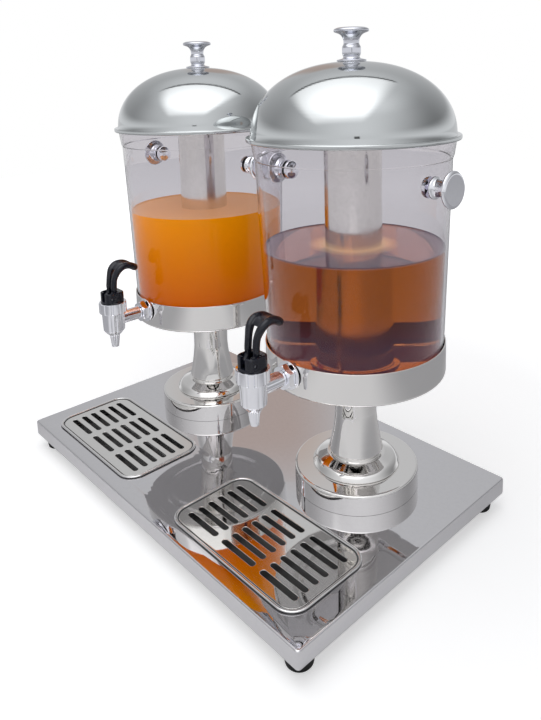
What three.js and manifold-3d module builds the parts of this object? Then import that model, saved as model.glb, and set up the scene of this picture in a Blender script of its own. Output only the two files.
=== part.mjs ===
// A twin juice dispenser: two clear containers on columns, on one steel base with two drip trays.
// Millimetres, +Z up. The origin is on the surface it stands on, under the middle of the base.
// +X runs along the front edge, and the taps and trays are on the -Y side.
import * as THREE from 'three';
import { mergeVertices } from 'three/addons/utils/BufferGeometryUtils.js';
import Module from 'manifold-3d';

const wasm = await Module();
wasm.setup();

// Roundness: facets in a full turn
const largeFacets = 24;
const mediumFacets = 14;
const smallFacets = 8;
const cornerFacets = 3;
const planFacets = 2;
const hexSides = 6;

// Clearances
const seatGap = 0.2;
const slideGap = 0.5;
const runningGap = 0.35;
const overrun = 5;

// Base plate. Its length and depth follow from what stands on it.
const baseOverhang = 126.6;
const rearMargin = 1.9;
const baseSheet = 1.2;
const baseCorner = 4;
const baseEdge = 1.2;
const skirtHeight = 19.5;
const returnFlange = 34;
const footHeight = 17.5;
const footTopRadius = 15;
const footBottomRadius = 13;
const footInset = 21;
const footEdge = 2;

// Drip trays and grilles
const trayLength = 201;
const trayDepth = 108;
const trayCorner = 22;
const trayFrontMargin = 17.5;
const trayBehindTap = 6.2;
const trayRim = 4.6;
const trayRimLift = 1.4;
const traySheet = 1;
const trayLedge = 3;
const trayLedgeDrop = 0.4;
const trayBowlDrop = 14;
const grilleSheet = 1;
const slotRows = 6;
const slotColumns = 3;
const slotEndMargin = 9.55;
const slotEdgeMargin = 12.1;
const slotSideGap = 10.1;
const slotRowGap = 6.8;

// Pedestal: drum, bell and column
const drumRadius = 72.3;
const drumHeight = 23;
const drumEdge = 3;
const drumSheet = 1.5;
const bellRadius = 50.9;
const bellRimHeight = 3;
const bellSheet = 2;
const bellSlope = 5.4;
const bellShoulderHeight = 3.6;
const ringHeight = 5.2;
const ringStep = 2;
const grooveLip = 1.2;
const grooveDepth = 2.3;
const grooveHeight = 3;
const flareLip = 2;
const flareSpread = 7.1;
const flareHeight = 46;
const flareBend = 1.5;
const columnRadius = 24.4;
const columnWall = 1.5;
const plugRise = 24;
const plugHeight = 12;
const boltRadius = 4;
const boltHeadFlats = 17;
const boltHeadHeight = 6;

// Pan that holds the container
const panBottom = 141.8;
const panDepth = 35.4;
const panPlay = 2.2;
const panSheet = 1.2;
const panCorner = 3;
const panStepInset = 23.6;
const panStepRise = 1.5;
const panStepRun = 3;

// Container
const containerNeckRadius = 108;
const containerTaper = 8.8;
const containerWall = 3;
const wallHeight = 240.8;
const containerFootRise = 3.6;
const containerFootRing = 12;
const containerFootChamfer = 1;
const containerFloor = 3;
const containerCorner = 4;
const lipStep = 0.9;
const lipFlare = 4.6;
const lipHeight = 23;
const lipWall = 3;
const seatRingWall = 3.6;
const seatRingHeight = 5;
const drainPadRadius = 12;
const drainPadRise = 2;
const knobsApart = 21.3;

// Ice tube
const tubeRadius = 32.1;
const tubeWall = 1;
const tubeDrop = 3;
const tubeBead = 1.2;
const tubeCorner = 4;
const tubePlay = 0.9;

// Lid
const domeInset = 0.6;
const domeHeight = 79;
const domeSheet = 1;
const domeRiseShare = 2.1;
const domeWidthShare = 2.2;
const domeSteps = 6;
const lidPlay = 1;
const rimBead = 4.8;
const rimBeadWidth = 3.6;
const rimSheet = 1.2;

// Knobs: one on the lid, two on each container
const knobDiscRadius = 19.2;
const lidKnobHeight = 35;
const lidKnobShares = [
  [0.78, 0], [0.78, 0.03], [0.33, 0.06], [0.33, 0.1], [0.51, 0.2], [0.51, 0.41],
  [0.36, 0.51], [0.42, 0.65], [0.66, 0.78], [1, 0.87], [0.97, 0.95], [0.75, 1], [0, 1],
];
const sideKnobLength = 24;
const sideKnobShares = [
  [0.61, 0], [0.61, 0.08], [0.46, 0.18], [0.44, 0.5], [0.62, 0.74], [0.97, 0.82], [1, 0.9], [0.85, 1], [0, 1],
];
const sideKnobDrop = 23.5;
const knobStudRadius = 3;
const knobStudLength = 8.8;
const capNutHeight = 9;
const capNutBlind = 1.5;
const lidCapRadius = 8;
const lidCapDrop = 0.7;
const sideCapRadius = 11.2;
const sideCapInset = 0.6;

// Tap body and what clamps it to the container
const bodyRise = 10.5;
const bodyDrop = 13.5;
const bodyTopRadius = 14.5;
const bodyTaper = 0.9;
const bodyWall = 2;
const coneHeight = 7.5;
const nozzleLength = 14.9;
const nozzleTopRadius = 6.4;
const nozzleTipRadius = 4.6;
const nozzleBore = 3.2;
const chamberDrop = 9;
const shankRadius = 6.8;
const shankBore = 4.2;
const shoulderRadius = 8.6;
const hexNutFlats = 24;
const hexNutLength = 8.5;
const washerRadius = 15.6;
const washerThickness = 2.2;
const bushWall = 1.6;
const gasketRadius = 10.6;
const gasketThickness = 2;
const backNutFlats = 20;
const backNutLength = 5;
const backNutRise = 1.65;
const shankTail = 3;

// Tap collar and bonnet
const collarHeight = 14.4;
const collarWall = 1.95;
const collarRibs = 12;
const collarRibDepth = 0.8;
const collarGrooveShare = 0.42;
const collarFlankShare = 0.12;
const collarLip = 1.6;
const bonnetRadius = 14;
const bonnetLip = 1.1;
const bonnetFlange = 2;
const bonnetSlotWidth = 7.2;
const leverBayFront = 9.4;
const leverBayBack = 4.8;

// Tap lever and valve
const pinRadius = 1.6;
const pinOffset = 5.8;
const pinAboveCollar = 6;
const pinBelowTop = 6;
const hubRadius = 3;
const hubFloorGap = 1.8;
const legRadius = 3;
const legSpread = 6.2;
const legSides = 8;
const legSteps = 8;
const paddleSteps = 4;
const paddleThickness = 4.4;
const paddleStartShare = 0.5;
const leverHeight = 41;
const leverReach = 39;
const leverShares = [[0, 0], [0.09, 0.17], [0.11, 0.42], [0.16, 0.66], [0.3, 0.88], [0.52, 1], [0.78, 0.96], [1, 0.8]];
const leverTipGap = 17.3;
const stemRadius = 1.8;
const stemHeadRadius = 2.8;
const stemHeadHeight = 2;
const stemAbovePin = 3.2;
const forkGap = 0.3;
const forkThickness = 1.4;
const forkWidth = 1.5;
const forkOverhang = 0.8;
const seatCupPlay = 3;
const seatCupTopRadius = 4.4;
const seatCupHeight = 8;
const seatCupSkirt = 4;
const seatCupSocket = 4;

// Levels of the container, above the top of the base plate
const panRim = panBottom + panDepth;
const containerBottom = panBottom + panSheet + seatGap;
const lipStart = containerBottom + wallHeight;
const lipTop = lipStart + lipHeight;
const floorUnder = containerBottom + panStepRise + containerFootRise;
const floorTop = floorUnder + containerFloor;
const sideKnobRise = lipStart - sideKnobDrop;

// Radii that fit in or round one another
const containerFootRadius = containerNeckRadius - containerTaper;
const panRadius = containerFootRadius + panPlay + panSheet;
const lipRadius = containerNeckRadius + lipFlare;
const domeRadius = lipRadius - domeInset;
const rimRadius = lipRadius + lidPlay + rimBeadWidth;
const bodyBottomRadius = bodyTopRadius - bodyTaper;
const chamberRadius = bodyBottomRadius - bodyWall;
const bonnetFlangeRadius = bonnetRadius + bonnetLip;
const collarRadius = bonnetFlangeRadius + runningGap + collarWall;
const bushRadius = shankRadius + runningGap + bushWall;

// Levels of the tap. Its shank leaves the container just high enough for the back nut inside.
const tapRise = floorTop + hexRadius(backNutFlats) + backNutRise;
const bodyTop = tapRise + bodyRise;
const bodyBottom = tapRise - bodyDrop;
const nozzleShoulder = bodyBottom - coneHeight;
const nozzleTip = nozzleShoulder - nozzleLength;
const chamberFloor = tapRise - chamberDrop;
const collarTop = bodyTop + collarHeight;
const flangeTop = collarTop - collarLip - seatGap;
const flangeBottom = flangeTop - bonnetFlange;
const neckTop = flangeBottom - seatGap;
const pinRise = collarTop + pinAboveCollar;
const bonnetTop = pinRise + pinBelowTop;
const stemTop = pinRise + stemAbovePin;
const leverBayFloor = pinRise - hubRadius - hubFloorGap;

// Places in plan. The lever's tip stays clear of the container, and a hand fits between the inner knobs.
const tapReach = wallRadiusAt(pinRise) + leverReach - pinOffset + leverTipGap;
const knobSeat = wallRadiusAt(sideKnobRise + sideKnobShares[0][0] * knobDiscRadius) + seatGap;
const unitX = knobSeat + sideKnobLength + knobsApart / 2;
const unitToBack = rimRadius + rearMargin;
const baseLength = 2 * (unitX + baseOverhang);
const baseDepth = unitToBack + tapReach - trayBehindTap + trayDepth / 2 + trayFrontMargin;
const unitSetBack = baseDepth / 2 - unitToBack;
const trayCentreY = unitSetBack - tapReach + trayBehindTap;
const plateTop = footHeight + skirtHeight;

// The container's outer wall leans out evenly from the foot to the lip.
function wallRadiusAt(height) {
  return containerFootRadius + containerTaper * (height - containerBottom) / wallHeight;
}

function hexRadius(flats) {
  return flats / 2 / Math.cos(Math.PI / hexSides);
}

// Finishes
function finish(color, roughness, metalness, opacity = 1) {
  return { color, roughness, metalness, opacity, transparent: opacity < 1 };
}
const mirrorSteel = finish(0xc6c6cc, 0.08, 1);
const domeSteel = finish(0xa9aeb4, 0.14, 1);
const chrome = finish(0xd6d8de, 0.05, 1);
const blackPlastic = finish(0x1c1e2d, 0.35, 0);
const blackRubber = finish(0x0e0e10, 0.7, 0);
const clearPlastic = finish(0xe9ecf2, 0.05, 0, 0.3);
const paleSilicone = finish(0xd9d6cf, 0.5, 0);

// Solids

function toSolid(geometry) {
  const bare = geometry.clone();
  bare.deleteAttribute('normal');
  bare.deleteAttribute('uv');
  const merged = mergeVertices(bare);
  const points = merged.attributes.position.array;
  const triangles = merged.index.array.filter((_, i, all) => {
    const start = i - (i % 3);
    return new Set([all[start], all[start + 1], all[start + 2]]).size === 3;
  });
  if (signedVolume(points, triangles) < 0) {
    triangles.reverse();
  }
  return new wasm.Manifold(new wasm.Mesh({
    numProp: 3,
    vertProperties: Float32Array.from(points),
    triVerts: Uint32Array.from(triangles),
  }));
}

function signedVolume(points, triangles) {
  const corner = (i) => new THREE.Vector3().fromArray(points, triangles[i] * 3);
  let sum = 0;
  for (let i = 0; i < triangles.length; i += 3) {
    sum += corner(i).dot(corner(i + 1).cross(corner(i + 2)));
  }
  return sum;
}

function toGeometry(solid) {
  const mesh = solid.getMesh();
  const geometry = new THREE.BufferGeometry();
  geometry.setAttribute('position', new THREE.BufferAttribute(mesh.vertProperties, 3));
  geometry.setIndex(new THREE.BufferAttribute(mesh.triVerts, 1));
  return geometry;
}

function cut(solid, ...tools) {
  return tools.reduce((rest, tool) => rest.subtract(tool), solid);
}

function join(first, ...others) {
  return others.reduce((whole, other) => whole.add(other), first);
}

// A closed outline of [radius, height] points turned about the Z axis.
function turned(outline, facets) {
  const points = outline.map(([radius, height]) => new THREE.Vector2(radius, height));
  points.push(points[0].clone());
  return new THREE.LatheGeometry(points, facets).rotateX(Math.PI / 2);
}

function cylinder(radius, bottom, top, facets) {
  const height = top - bottom;
  const shape = new THREE.CylinderGeometry(radius, radius, height, facets);
  return shape.rotateX(Math.PI / 2).translate(0, 0, bottom + height / 2);
}

// A cylinder along +Y from one depth to another, at a given height.
function crossCylinder(radius, front, back, rise, facets) {
  const length = back - front;
  const shape = new THREE.CylinderGeometry(radius, radius, length, facets);
  return shape.translate(0, front + length / 2, rise);
}

// A cylinder along X.
function pinCylinder(radius, left, right, facets) {
  const length = right - left;
  const shape = new THREE.CylinderGeometry(radius, radius, length, facets);
  return shape.rotateZ(Math.PI / 2).translate(left + length / 2, 0, 0);
}

function block(low, high) {
  const size = high.map((value, i) => value - low[i]);
  const middle = high.map((value, i) => (value + low[i]) / 2);
  return new THREE.BoxGeometry(...size).translate(...middle);
}

function roundedOutline(length, depth, corner) {
  const shape = new THREE.Shape();
  const x = length / 2 - corner;
  const y = depth / 2 - corner;
  shape.absarc(x, y, corner, 0, Math.PI / 2);
  shape.absarc(-x, y, corner, Math.PI / 2, Math.PI);
  shape.absarc(-x, -y, corner, Math.PI, Math.PI * 3 / 2);
  shape.absarc(x, -y, corner, Math.PI * 3 / 2, Math.PI * 2);
  return shape;
}

// A slab with a rounded-rectangle outline, centred on the origin in plan.
function slab(length, depth, corner, bottom, top) {
  const settings = { depth: top - bottom, bevelEnabled: false, curveSegments: planFacets };
  const shape = new THREE.ExtrudeGeometry(roundedOutline(length, depth, corner), settings);
  return shape.translate(0, 0, bottom);
}

// The points of an arc, from one angle to another, about a centre.
function arc(centreAcross, centreUp, radius, from, to, steps) {
  return Array.from({ length: steps + 1 }, (_, i) => {
    const angle = from + (to - from) * i / steps;
    return [centreAcross + radius * Math.cos(angle), centreUp + radius * Math.sin(angle)];
  });
}

// Base: an upside-down sheet tray whose skirt is folded in again at the bottom

const trayBodyLength = trayLength - 2 * trayRim + 2 * traySheet;
const trayBodyDepth = trayDepth - 2 * trayRim + 2 * traySheet;
const trayBodyCorner = trayCorner - trayRim + traySheet;

function basePlate() {
  const skirtBottom = footHeight;
  const cornerIn = baseCorner - baseSheet;
  const skin = { depth: skirtHeight - 2 * baseEdge, bevelThickness: baseEdge, bevelSize: baseEdge,
    bevelOffset: -baseEdge, bevelSegments: 1, curveSegments: planFacets };
  const outside = new THREE.ExtrudeGeometry(roundedOutline(baseLength, baseDepth, baseCorner), skin);
  outside.translate(0, 0, skirtBottom + baseEdge);
  const hollowLength = baseLength - 2 * baseSheet;
  const hollowDepth = baseDepth - 2 * baseSheet;
  const hollowBottom = skirtBottom + baseSheet;
  const hollowTop = plateTop - baseSheet;
  const hollow = slab(hollowLength, hollowDepth, cornerIn, hollowBottom, hollowTop);
  const mouthLength = baseLength - 2 * returnFlange;
  const mouthDepth = baseDepth - 2 * returnFlange;
  const mouth = slab(mouthLength, mouthDepth, baseCorner, skirtBottom - overrun, hollowBottom + baseSheet);
  let plate = cut(toSolid(outside), toSolid(hollow), toSolid(mouth));
  for (const side of [-1, 1]) {
    const opening = slab(trayBodyLength + 2 * slideGap, trayBodyDepth + 2 * slideGap,
      trayBodyCorner + slideGap, hollowTop - overrun, plateTop + overrun);
    opening.translate(side * unitX, trayCentreY, 0);
    const boltHole = cylinder(boltRadius + runningGap, hollowTop - overrun, plateTop + overrun, smallFacets);
    boltHole.translate(side * unitX, unitSetBack, 0);
    plate = cut(plate, toSolid(opening), toSolid(boltHole));
  }
  return plate;
}

function foot() {
  const top = footHeight - seatGap;
  return turned([
    [0, 0], [footBottomRadius - footEdge, 0], [footBottomRadius, footEdge],
    [footTopRadius, top - footEdge], [footTopRadius - footEdge / 2, top], [0, top],
  ], mediumFacets);
}

// Drip tray: a rim on the plate, a ledge for the grille, and a bowl through the plate

const grilleLength = trayBodyLength - 2 * traySheet - 2 * slideGap;
const grilleDepth = trayBodyDepth - 2 * traySheet - 2 * slideGap;
const slotLength = (grilleLength - 2 * slotEndMargin - (slotColumns - 1) * slotSideGap) / slotColumns;
const slotWidth = (grilleDepth - 2 * slotEdgeMargin - (slotRows - 1) * slotRowGap) / slotRows;
const grilleCorner = trayBodyCorner - traySheet - slideGap;

function dripTray() {
  const ledgeTop = -trayLedgeDrop;
  const ledgeBottom = ledgeTop - traySheet;
  const bowlLength = trayBodyLength - 2 * trayLedge;
  const bowlDepth = trayBodyDepth - 2 * trayLedge;
  const bowlCorner = trayBodyCorner - trayLedge;
  const rim = slab(trayLength, trayDepth, trayCorner, seatGap, trayRimLift);
  const ledge = slab(trayBodyLength, trayBodyDepth, trayBodyCorner, ledgeBottom, trayRimLift);
  const bowl = slab(bowlLength, bowlDepth, bowlCorner, -trayBowlDrop, trayRimLift);
  const recess = slab(trayBodyLength - 2 * traySheet, trayBodyDepth - 2 * traySheet,
    trayBodyCorner - traySheet, ledgeTop, trayRimLift + overrun);
  const hollow = slab(bowlLength - 2 * traySheet, bowlDepth - 2 * traySheet,
    bowlCorner - traySheet, traySheet - trayBowlDrop, trayRimLift + overrun);
  const body = join(toSolid(rim), toSolid(ledge), toSolid(bowl));
  return cut(body, toSolid(recess), toSolid(hollow));
}

function obround(x, y, length, width) {
  const run = (length - width) / 2;
  const ends = [
    ...arc(x + run, y, width / 2, -Math.PI / 2, Math.PI / 2, cornerFacets),
    ...arc(x - run, y, width / 2, Math.PI / 2, Math.PI * 3 / 2, cornerFacets),
  ];
  return new THREE.Path(ends.map((point) => new THREE.Vector2(...point)));
}

function grille() {
  const outline = roundedOutline(grilleLength, grilleDepth, grilleCorner);
  for (let column = 0; column < slotColumns; column += 1) {
    for (let row = 0; row < slotRows; row += 1) {
      const x = (column - (slotColumns - 1) / 2) * (slotLength + slotSideGap);
      const y = (row - (slotRows - 1) / 2) * (slotWidth + slotRowGap);
      outline.holes.push(obround(x, y, slotLength, slotWidth));
    }
  }
  const settings = { depth: grilleSheet, bevelEnabled: false, curveSegments: planFacets };
  return new THREE.ExtrudeGeometry(outline, settings).translate(0, 0, seatGap - trayLedgeDrop);
}

// Pedestal. From here on, heights are measured from the top of the base plate.

const drumTop = drumHeight;
const bellBottom = drumTop + seatGap;
const columnTop = panBottom + panStepRise - seatGap;
const bellShoulderTop = bellBottom + bellRimHeight + bellShoulderHeight;
const ringTop = bellShoulderTop + ringHeight;
const grooveBottom = ringTop + grooveLip;
const flareBottom = grooveBottom + grooveHeight + flareLip;
const flareRadius = columnRadius + flareSpread;
const grooveRadius = flareRadius - grooveDepth;
const ringRadius = flareRadius + ringStep;
const bellShoulderRadius = bellRadius - bellSlope;

function drum() {
  const inside = drumRadius - drumSheet;
  const hole = boltRadius + runningGap;
  return turned([
    [drumRadius, seatGap],
    ...arc(drumRadius - drumEdge, drumTop - drumEdge, drumEdge, 0, Math.PI / 2, cornerFacets),
    [hole, drumTop], [hole, drumTop - drumSheet],
    [drumRadius - drumEdge, drumTop - drumSheet], [inside, drumTop - drumEdge], [inside, seatGap],
  ], largeFacets);
}

// The flare narrows along a quarter of an ellipse from its foot to the column.
function flareOutline() {
  return Array.from({ length: cornerFacets + 2 }, (_, i) => {
    const turn = (i / (cornerFacets + 1)) * Math.PI / 2;
    const height = flareBottom + flareHeight * Math.sin(turn);
    return [columnRadius + flareSpread * (1 - Math.sin(turn)) ** flareBend, height];
  });
}

function column() {
  const bore = columnRadius - columnWall;
  const plugBottom = bellBottom + plugRise;
  const thread = boltRadius + runningGap;
  return turned([
    [bellRadius - bellSheet, bellBottom], [bellRadius, bellBottom],
    [bellRadius, bellBottom + bellRimHeight],
    [bellShoulderRadius, bellShoulderTop],
    [ringRadius, ringTop],
    [grooveRadius, grooveBottom], [grooveRadius, grooveBottom + grooveHeight],
    ...flareOutline(),
    [columnRadius, columnTop], [bore, columnTop],
    [bore, plugBottom + plugHeight], [thread, plugBottom + plugHeight],
    [thread, plugBottom], [bore, plugBottom],
    [bore, ringTop - bellSheet], [ringRadius - bellSheet, ringTop - bellSheet],
    [bellShoulderRadius - bellSheet, bellShoulderTop - bellSheet],
  ], largeFacets);
}

// The bolt goes up through the plate and the drum into the plug at the foot of the column.
function columnBolt() {
  const headTop = -baseSheet - seatGap;
  const head = cylinder(hexRadius(boltHeadFlats), headTop - boltHeadHeight, headTop, hexSides);
  const tip = bellBottom + plugRise + plugHeight - seatGap;
  const shaft = cylinder(boltRadius, headTop - boltHeadHeight / 2, tip, smallFacets);
  return join(toSolid(head), toSolid(shaft));
}

function pan() {
  const inside = panRadius - panSheet;
  const panFloor = panBottom + panSheet;
  const panStepRadius = panRadius - panStepInset;
  const shell = turned([
    [0, panBottom + panStepRise], [panStepRadius - panStepRun, panBottom + panStepRise],
    [panStepRadius, panBottom],
    ...arc(panRadius - panCorner, panBottom + panCorner, panCorner, -Math.PI / 2, 0, cornerFacets - 1),
    [panRadius, panRim], [inside, panRim],
    [inside, panBottom + panCorner], [panRadius - panCorner, panFloor],
    [panStepRadius - panSheet, panFloor],
    [panStepRadius - panStepRun - panSheet, panFloor + panStepRise], [0, panFloor + panStepRise],
  ], largeFacets);
  const half = bushRadius + slideGap;
  const notch = block([-half, -panRadius - overrun, tapRise], [half, 0, panRim + overrun]);
  const notchFoot = crossCylinder(half, -panRadius - overrun, 0, tapRise, mediumFacets);
  return cut(toSolid(shell), toSolid(notch), toSolid(notchFoot));
}

// Container

function container() {
  const innerCorner = wallRadiusAt(floorTop) - containerWall - containerCorner;
  const seatRingInner = tubeRadius + tubePlay;
  const seatRingOuter = seatRingInner + seatRingWall;
  const shell = turned([
    [containerFootRadius - containerFootRing, containerBottom],
    [containerFootRadius - containerFootChamfer, containerBottom],
    [containerFootRadius, containerBottom + containerFootChamfer],
    [containerNeckRadius, lipStart], [containerNeckRadius + lipStep, lipStart + lipStep],
    [lipRadius, lipTop], [lipRadius - lipWall, lipTop],
    [containerNeckRadius + lipStep - lipWall, lipStart + lipStep],
    [containerNeckRadius - containerWall, lipStart],
    ...arc(innerCorner, floorTop + containerCorner, containerCorner, 0, -Math.PI / 2, cornerFacets),
    [seatRingOuter, floorTop], [seatRingOuter, floorTop + seatRingHeight],
    [seatRingInner, floorTop + seatRingHeight], [seatRingInner, floorTop], [0, floorTop],
    [0, floorUnder], [containerFootRadius - containerFootRing, floorUnder],
  ], largeFacets);
  const wall = wallRadiusAt(tapRise);
  const padInside = wall - containerWall - drainPadRise;
  const drainPad = crossCylinder(drainPadRadius, containerWall / 2 - wall, -padInside, tapRise, mediumFacets);
  const drainHole = crossCylinder(shankRadius + runningGap, -panRadius - overrun, 0, tapRise, mediumFacets);
  const stud = wallRadiusAt(sideKnobRise) + overrun;
  const knobHoles = pinCylinder(knobStudRadius + runningGap, -stud, stud, smallFacets).translate(0, 0, sideKnobRise);
  return cut(join(toSolid(shell), toSolid(drainPad)), toSolid(drainHole), toSolid(knobHoles));
}

// Ice tube: a closed-bottomed can that stands in the ring on the container's floor

function iceTube() {
  const bottom = floorTop + seatGap;
  const inside = tubeRadius - tubeWall;
  const tubeTop = lipTop - tubeDrop;
  return turned([
    [0, bottom],
    ...arc(tubeRadius - tubeCorner, bottom + tubeCorner, tubeCorner, -Math.PI / 2, 0, cornerFacets - 1),
    [tubeRadius, tubeTop - 2 * tubeBead], [tubeRadius + tubeBead, tubeTop - tubeBead],
    [tubeRadius + tubeBead / 2, tubeTop], [inside, tubeTop],
    ...arc(tubeRadius - tubeCorner, bottom + tubeCorner, tubeCorner - tubeWall, 0, -Math.PI / 2, cornerFacets - 1),
    [0, bottom + tubeWall],
  ], mediumFacets);
}

// Lid: a spun dome with a rolled rim that hangs round the container's lip

const lidSeat = lipTop + seatGap;
const domeBase = lidSeat + rimSheet;

function domeOutline(radius, height) {
  return Array.from({ length: domeSteps + 1 }, (_, i) => {
    const rise = Math.sin(i / domeSteps * Math.PI / 2);
    const width = (1 - rise ** domeRiseShare) ** (1 / domeWidthShare);
    return [radius * width, domeBase + height * rise];
  });
}

function lid() {
  const stud = knobStudRadius + runningGap;
  const outer = domeOutline(domeRadius, domeHeight).slice(0, -1);
  const inner = domeOutline(domeRadius - domeSheet, domeHeight - domeSheet).slice(0, -1).reverse();
  const beadInside = rimRadius - rimBeadWidth;
  const beadBottom = domeBase - rimBead;
  return turned([
    [domeRadius - domeSheet, lidSeat], [beadInside, lidSeat],
    [beadInside, beadBottom + rimSheet], [beadInside + rimSheet, beadBottom],
    [rimRadius - rimSheet, beadBottom], [rimRadius, beadBottom + rimSheet],
    [rimRadius, domeBase - rimSheet / 2], [rimRadius - rimSheet, domeBase],
    ...outer, [stud, domeBase + domeHeight],
    [stud, domeBase + domeHeight - domeSheet], ...inner,
  ], largeFacets);
}

// Knobs and the cap nuts behind them

const lidKnobSeat = domeBase + domeHeight + seatGap;
const lidCapSeat = domeBase + domeHeight - domeSheet - lidCapDrop;

// A knob standing on its foot, with its threaded stud below.
function knob(height, shares) {
  const outline = shares.map(([radius, rise]) => [radius * knobDiscRadius, rise * height]);
  return turned([
    [0, -knobStudLength], [knobStudRadius, -knobStudLength], [knobStudRadius, 0], ...outline,
  ], mediumFacets);
}

// A domed nut with a blind hole, lying on its open face.
function capNut(radius) {
  const blind = capNutHeight - capNutBlind;
  const hole = knobStudRadius + runningGap;
  const brim = capNutHeight / 4;
  const crown = arc(0, 0, 1, 0, Math.PI / 2, cornerFacets).slice(1, -1);
  return turned([
    [hole, 0], [radius, 0], [radius, brim],
    ...crown.map(([across, up]) => [across * radius, brim + up * (capNutHeight - brim)]),
    [0, capNutHeight], [0, blind], [hole, blind],
  ], smallFacets);
}

// Tap. Its parts are placed from the tap's own upright axis, tapReach in front of the container's.

const washerBack = tapReach - panRadius - slideGap;
const washerFront = washerBack - washerThickness;
const nutBack = washerFront - seatGap;
const nutFront = nutBack - hexNutLength;
const bushFront = washerBack + seatGap;
const bushBack = tapReach - wallRadiusAt(tapRise + bushRadius) - seatGap;
const padBack = tapReach - wallRadiusAt(tapRise) + containerWall + drainPadRise;
const gasketFront = padBack + seatGap;
const gasketBack = gasketFront + gasketThickness;
const backNutFront = gasketBack + seatGap;
const backNutBack = backNutFront + backNutLength;
const shankEnd = backNutBack + shankTail;

function tapBody() {
  const shell = turned([
    [0, nozzleTip], [nozzleTipRadius, nozzleTip], [nozzleTopRadius, nozzleShoulder],
    [bodyBottomRadius, bodyBottom], [bodyTopRadius, bodyTop - seatGap],
    [bonnetFlangeRadius, bodyTop + seatGap], [bonnetFlangeRadius, neckTop], [0, neckTop],
  ], mediumFacets);
  const shank = crossCylinder(shankRadius, 0, shankEnd, tapRise, mediumFacets);
  const shoulder = crossCylinder(shoulderRadius, 0, nutFront - seatGap, tapRise, mediumFacets);
  const chamber = cylinder(chamberRadius, chamberFloor, neckTop + overrun, mediumFacets);
  const outlet = cylinder(nozzleBore, nozzleTip - overrun, chamberFloor + overrun, smallFacets);
  const inlet = crossCylinder(shankBore, 0, shankEnd + overrun, tapRise, smallFacets);
  return cut(join(toSolid(shell), toSolid(shank), toSolid(shoulder)),
    toSolid(chamber), toSolid(outlet), toSolid(inlet));
}

// A ring along Y from its front face to its back face, on the tap's shank.
function shankRing(outer, front, back, facets) {
  const body = crossCylinder(outer, front, back, tapRise, facets);
  const bore = crossCylinder(shankRadius + runningGap, front - overrun, back + overrun, tapRise, mediumFacets);
  return cut(toSolid(body), toSolid(bore));
}

// The collar nut screws on the body's neck, and its lip holds the bonnet's flange down.
function collar() {
  const pitch = Math.PI * 2 / collarRibs;
  const crest = pitch * (1 - collarGrooveShare - 2 * collarFlankShare);
  const flank = pitch * collarFlankShare;
  const points = [];
  for (let rib = 0; rib < collarRibs; rib += 1) {
    const start = rib * pitch;
    const valley = collarRadius - collarRibDepth;
    points.push([start, collarRadius], [start + crest, collarRadius]);
    points.push([start + crest + flank, valley], [start + pitch - flank, valley]);
  }
  const outline = points.map(([angle, radius]) => (
    new THREE.Vector2(radius * Math.cos(angle), radius * Math.sin(angle))));
  const settings = { depth: collarHeight, bevelEnabled: false };
  const outside = new THREE.ExtrudeGeometry(new THREE.Shape(outline), settings).translate(0, 0, bodyTop + seatGap);
  const bore = cylinder(bonnetFlangeRadius + runningGap, bodyTop - overrun, flangeTop + seatGap, mediumFacets);
  const mouth = cylinder(bonnetRadius + runningGap, bodyTop, collarTop + overrun, mediumFacets);
  return cut(toSolid(outside), toSolid(bore), toSolid(mouth));
}

const hubHalfLength = legSpread + legRadius;

// The bonnet carries the lever on a pin across an open bay, with a slot in its front face.
function bonnet() {
  const flange = cylinder(bonnetFlangeRadius, flangeBottom, flangeTop, mediumFacets);
  const barrel = cylinder(bonnetRadius, flangeBottom, bonnetTop, mediumFacets);
  const guide = cylinder(stemRadius + runningGap, flangeBottom - overrun, bonnetTop, smallFacets);
  const bayHalf = hubHalfLength + slideGap;
  const bay = block([-bayHalf, -leverBayFront, leverBayFloor], [bayHalf, leverBayBack, bonnetTop + overrun]);
  const half = bonnetSlotWidth / 2;
  const slot = block([-half, -bonnetRadius - overrun, leverBayFloor], [half, 0, bonnetTop + overrun]);
  const pinHole = pinCylinder(pinRadius + seatGap, -bonnetRadius - overrun, bonnetRadius + overrun, smallFacets);
  pinHole.translate(0, -pinOffset, pinRise);
  return cut(join(toSolid(flange), toSolid(barrel)), toSolid(guide), toSolid(bay), toSolid(slot), toSolid(pinHole));
}

function pivotPin() {
  const half = Math.sqrt(bonnetRadius ** 2 - pinOffset ** 2) - seatGap;
  return pinCylinder(pinRadius, -half, half, smallFacets).translate(0, -pinOffset, pinRise);
}

// The lever's side view: up from the pin, then over and back towards the container.
function leverPath(x, fromShare) {
  const points = leverShares.map(([back, up]) => (
    new THREE.Vector3(x, back * leverReach - pinOffset, up * leverHeight + pinRise)));
  const whole = new THREE.CatmullRomCurve3(points);
  const count = points.length * 2;
  const part = Array.from({ length: count + 1 }, (_, i) => whole.getPoint(fromShare + (1 - fromShare) * i / count));
  return new THREE.CatmullRomCurve3(part);
}

function sweep(points, path, steps) {
  return toSolid(new THREE.ExtrudeGeometry(new THREE.Shape(points), { steps, bevelEnabled: false, extrudePath: path }));
}

function leverLeg(x) {
  const section = Array.from({ length: legSides }, (_, i) => {
    const angle = i * Math.PI * 2 / legSides;
    return new THREE.Vector2(legRadius * Math.cos(angle), legRadius * Math.sin(angle));
  });
  return sweep(section, leverPath(x, 0), legSteps);
}

function leverPaddle() {
  const section = roundedOutline(2 * legSpread, paddleThickness, paddleThickness / 4).getPoints(1);
  return sweep(section, leverPath(0, paddleStartShare), paddleSteps);
}

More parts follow.
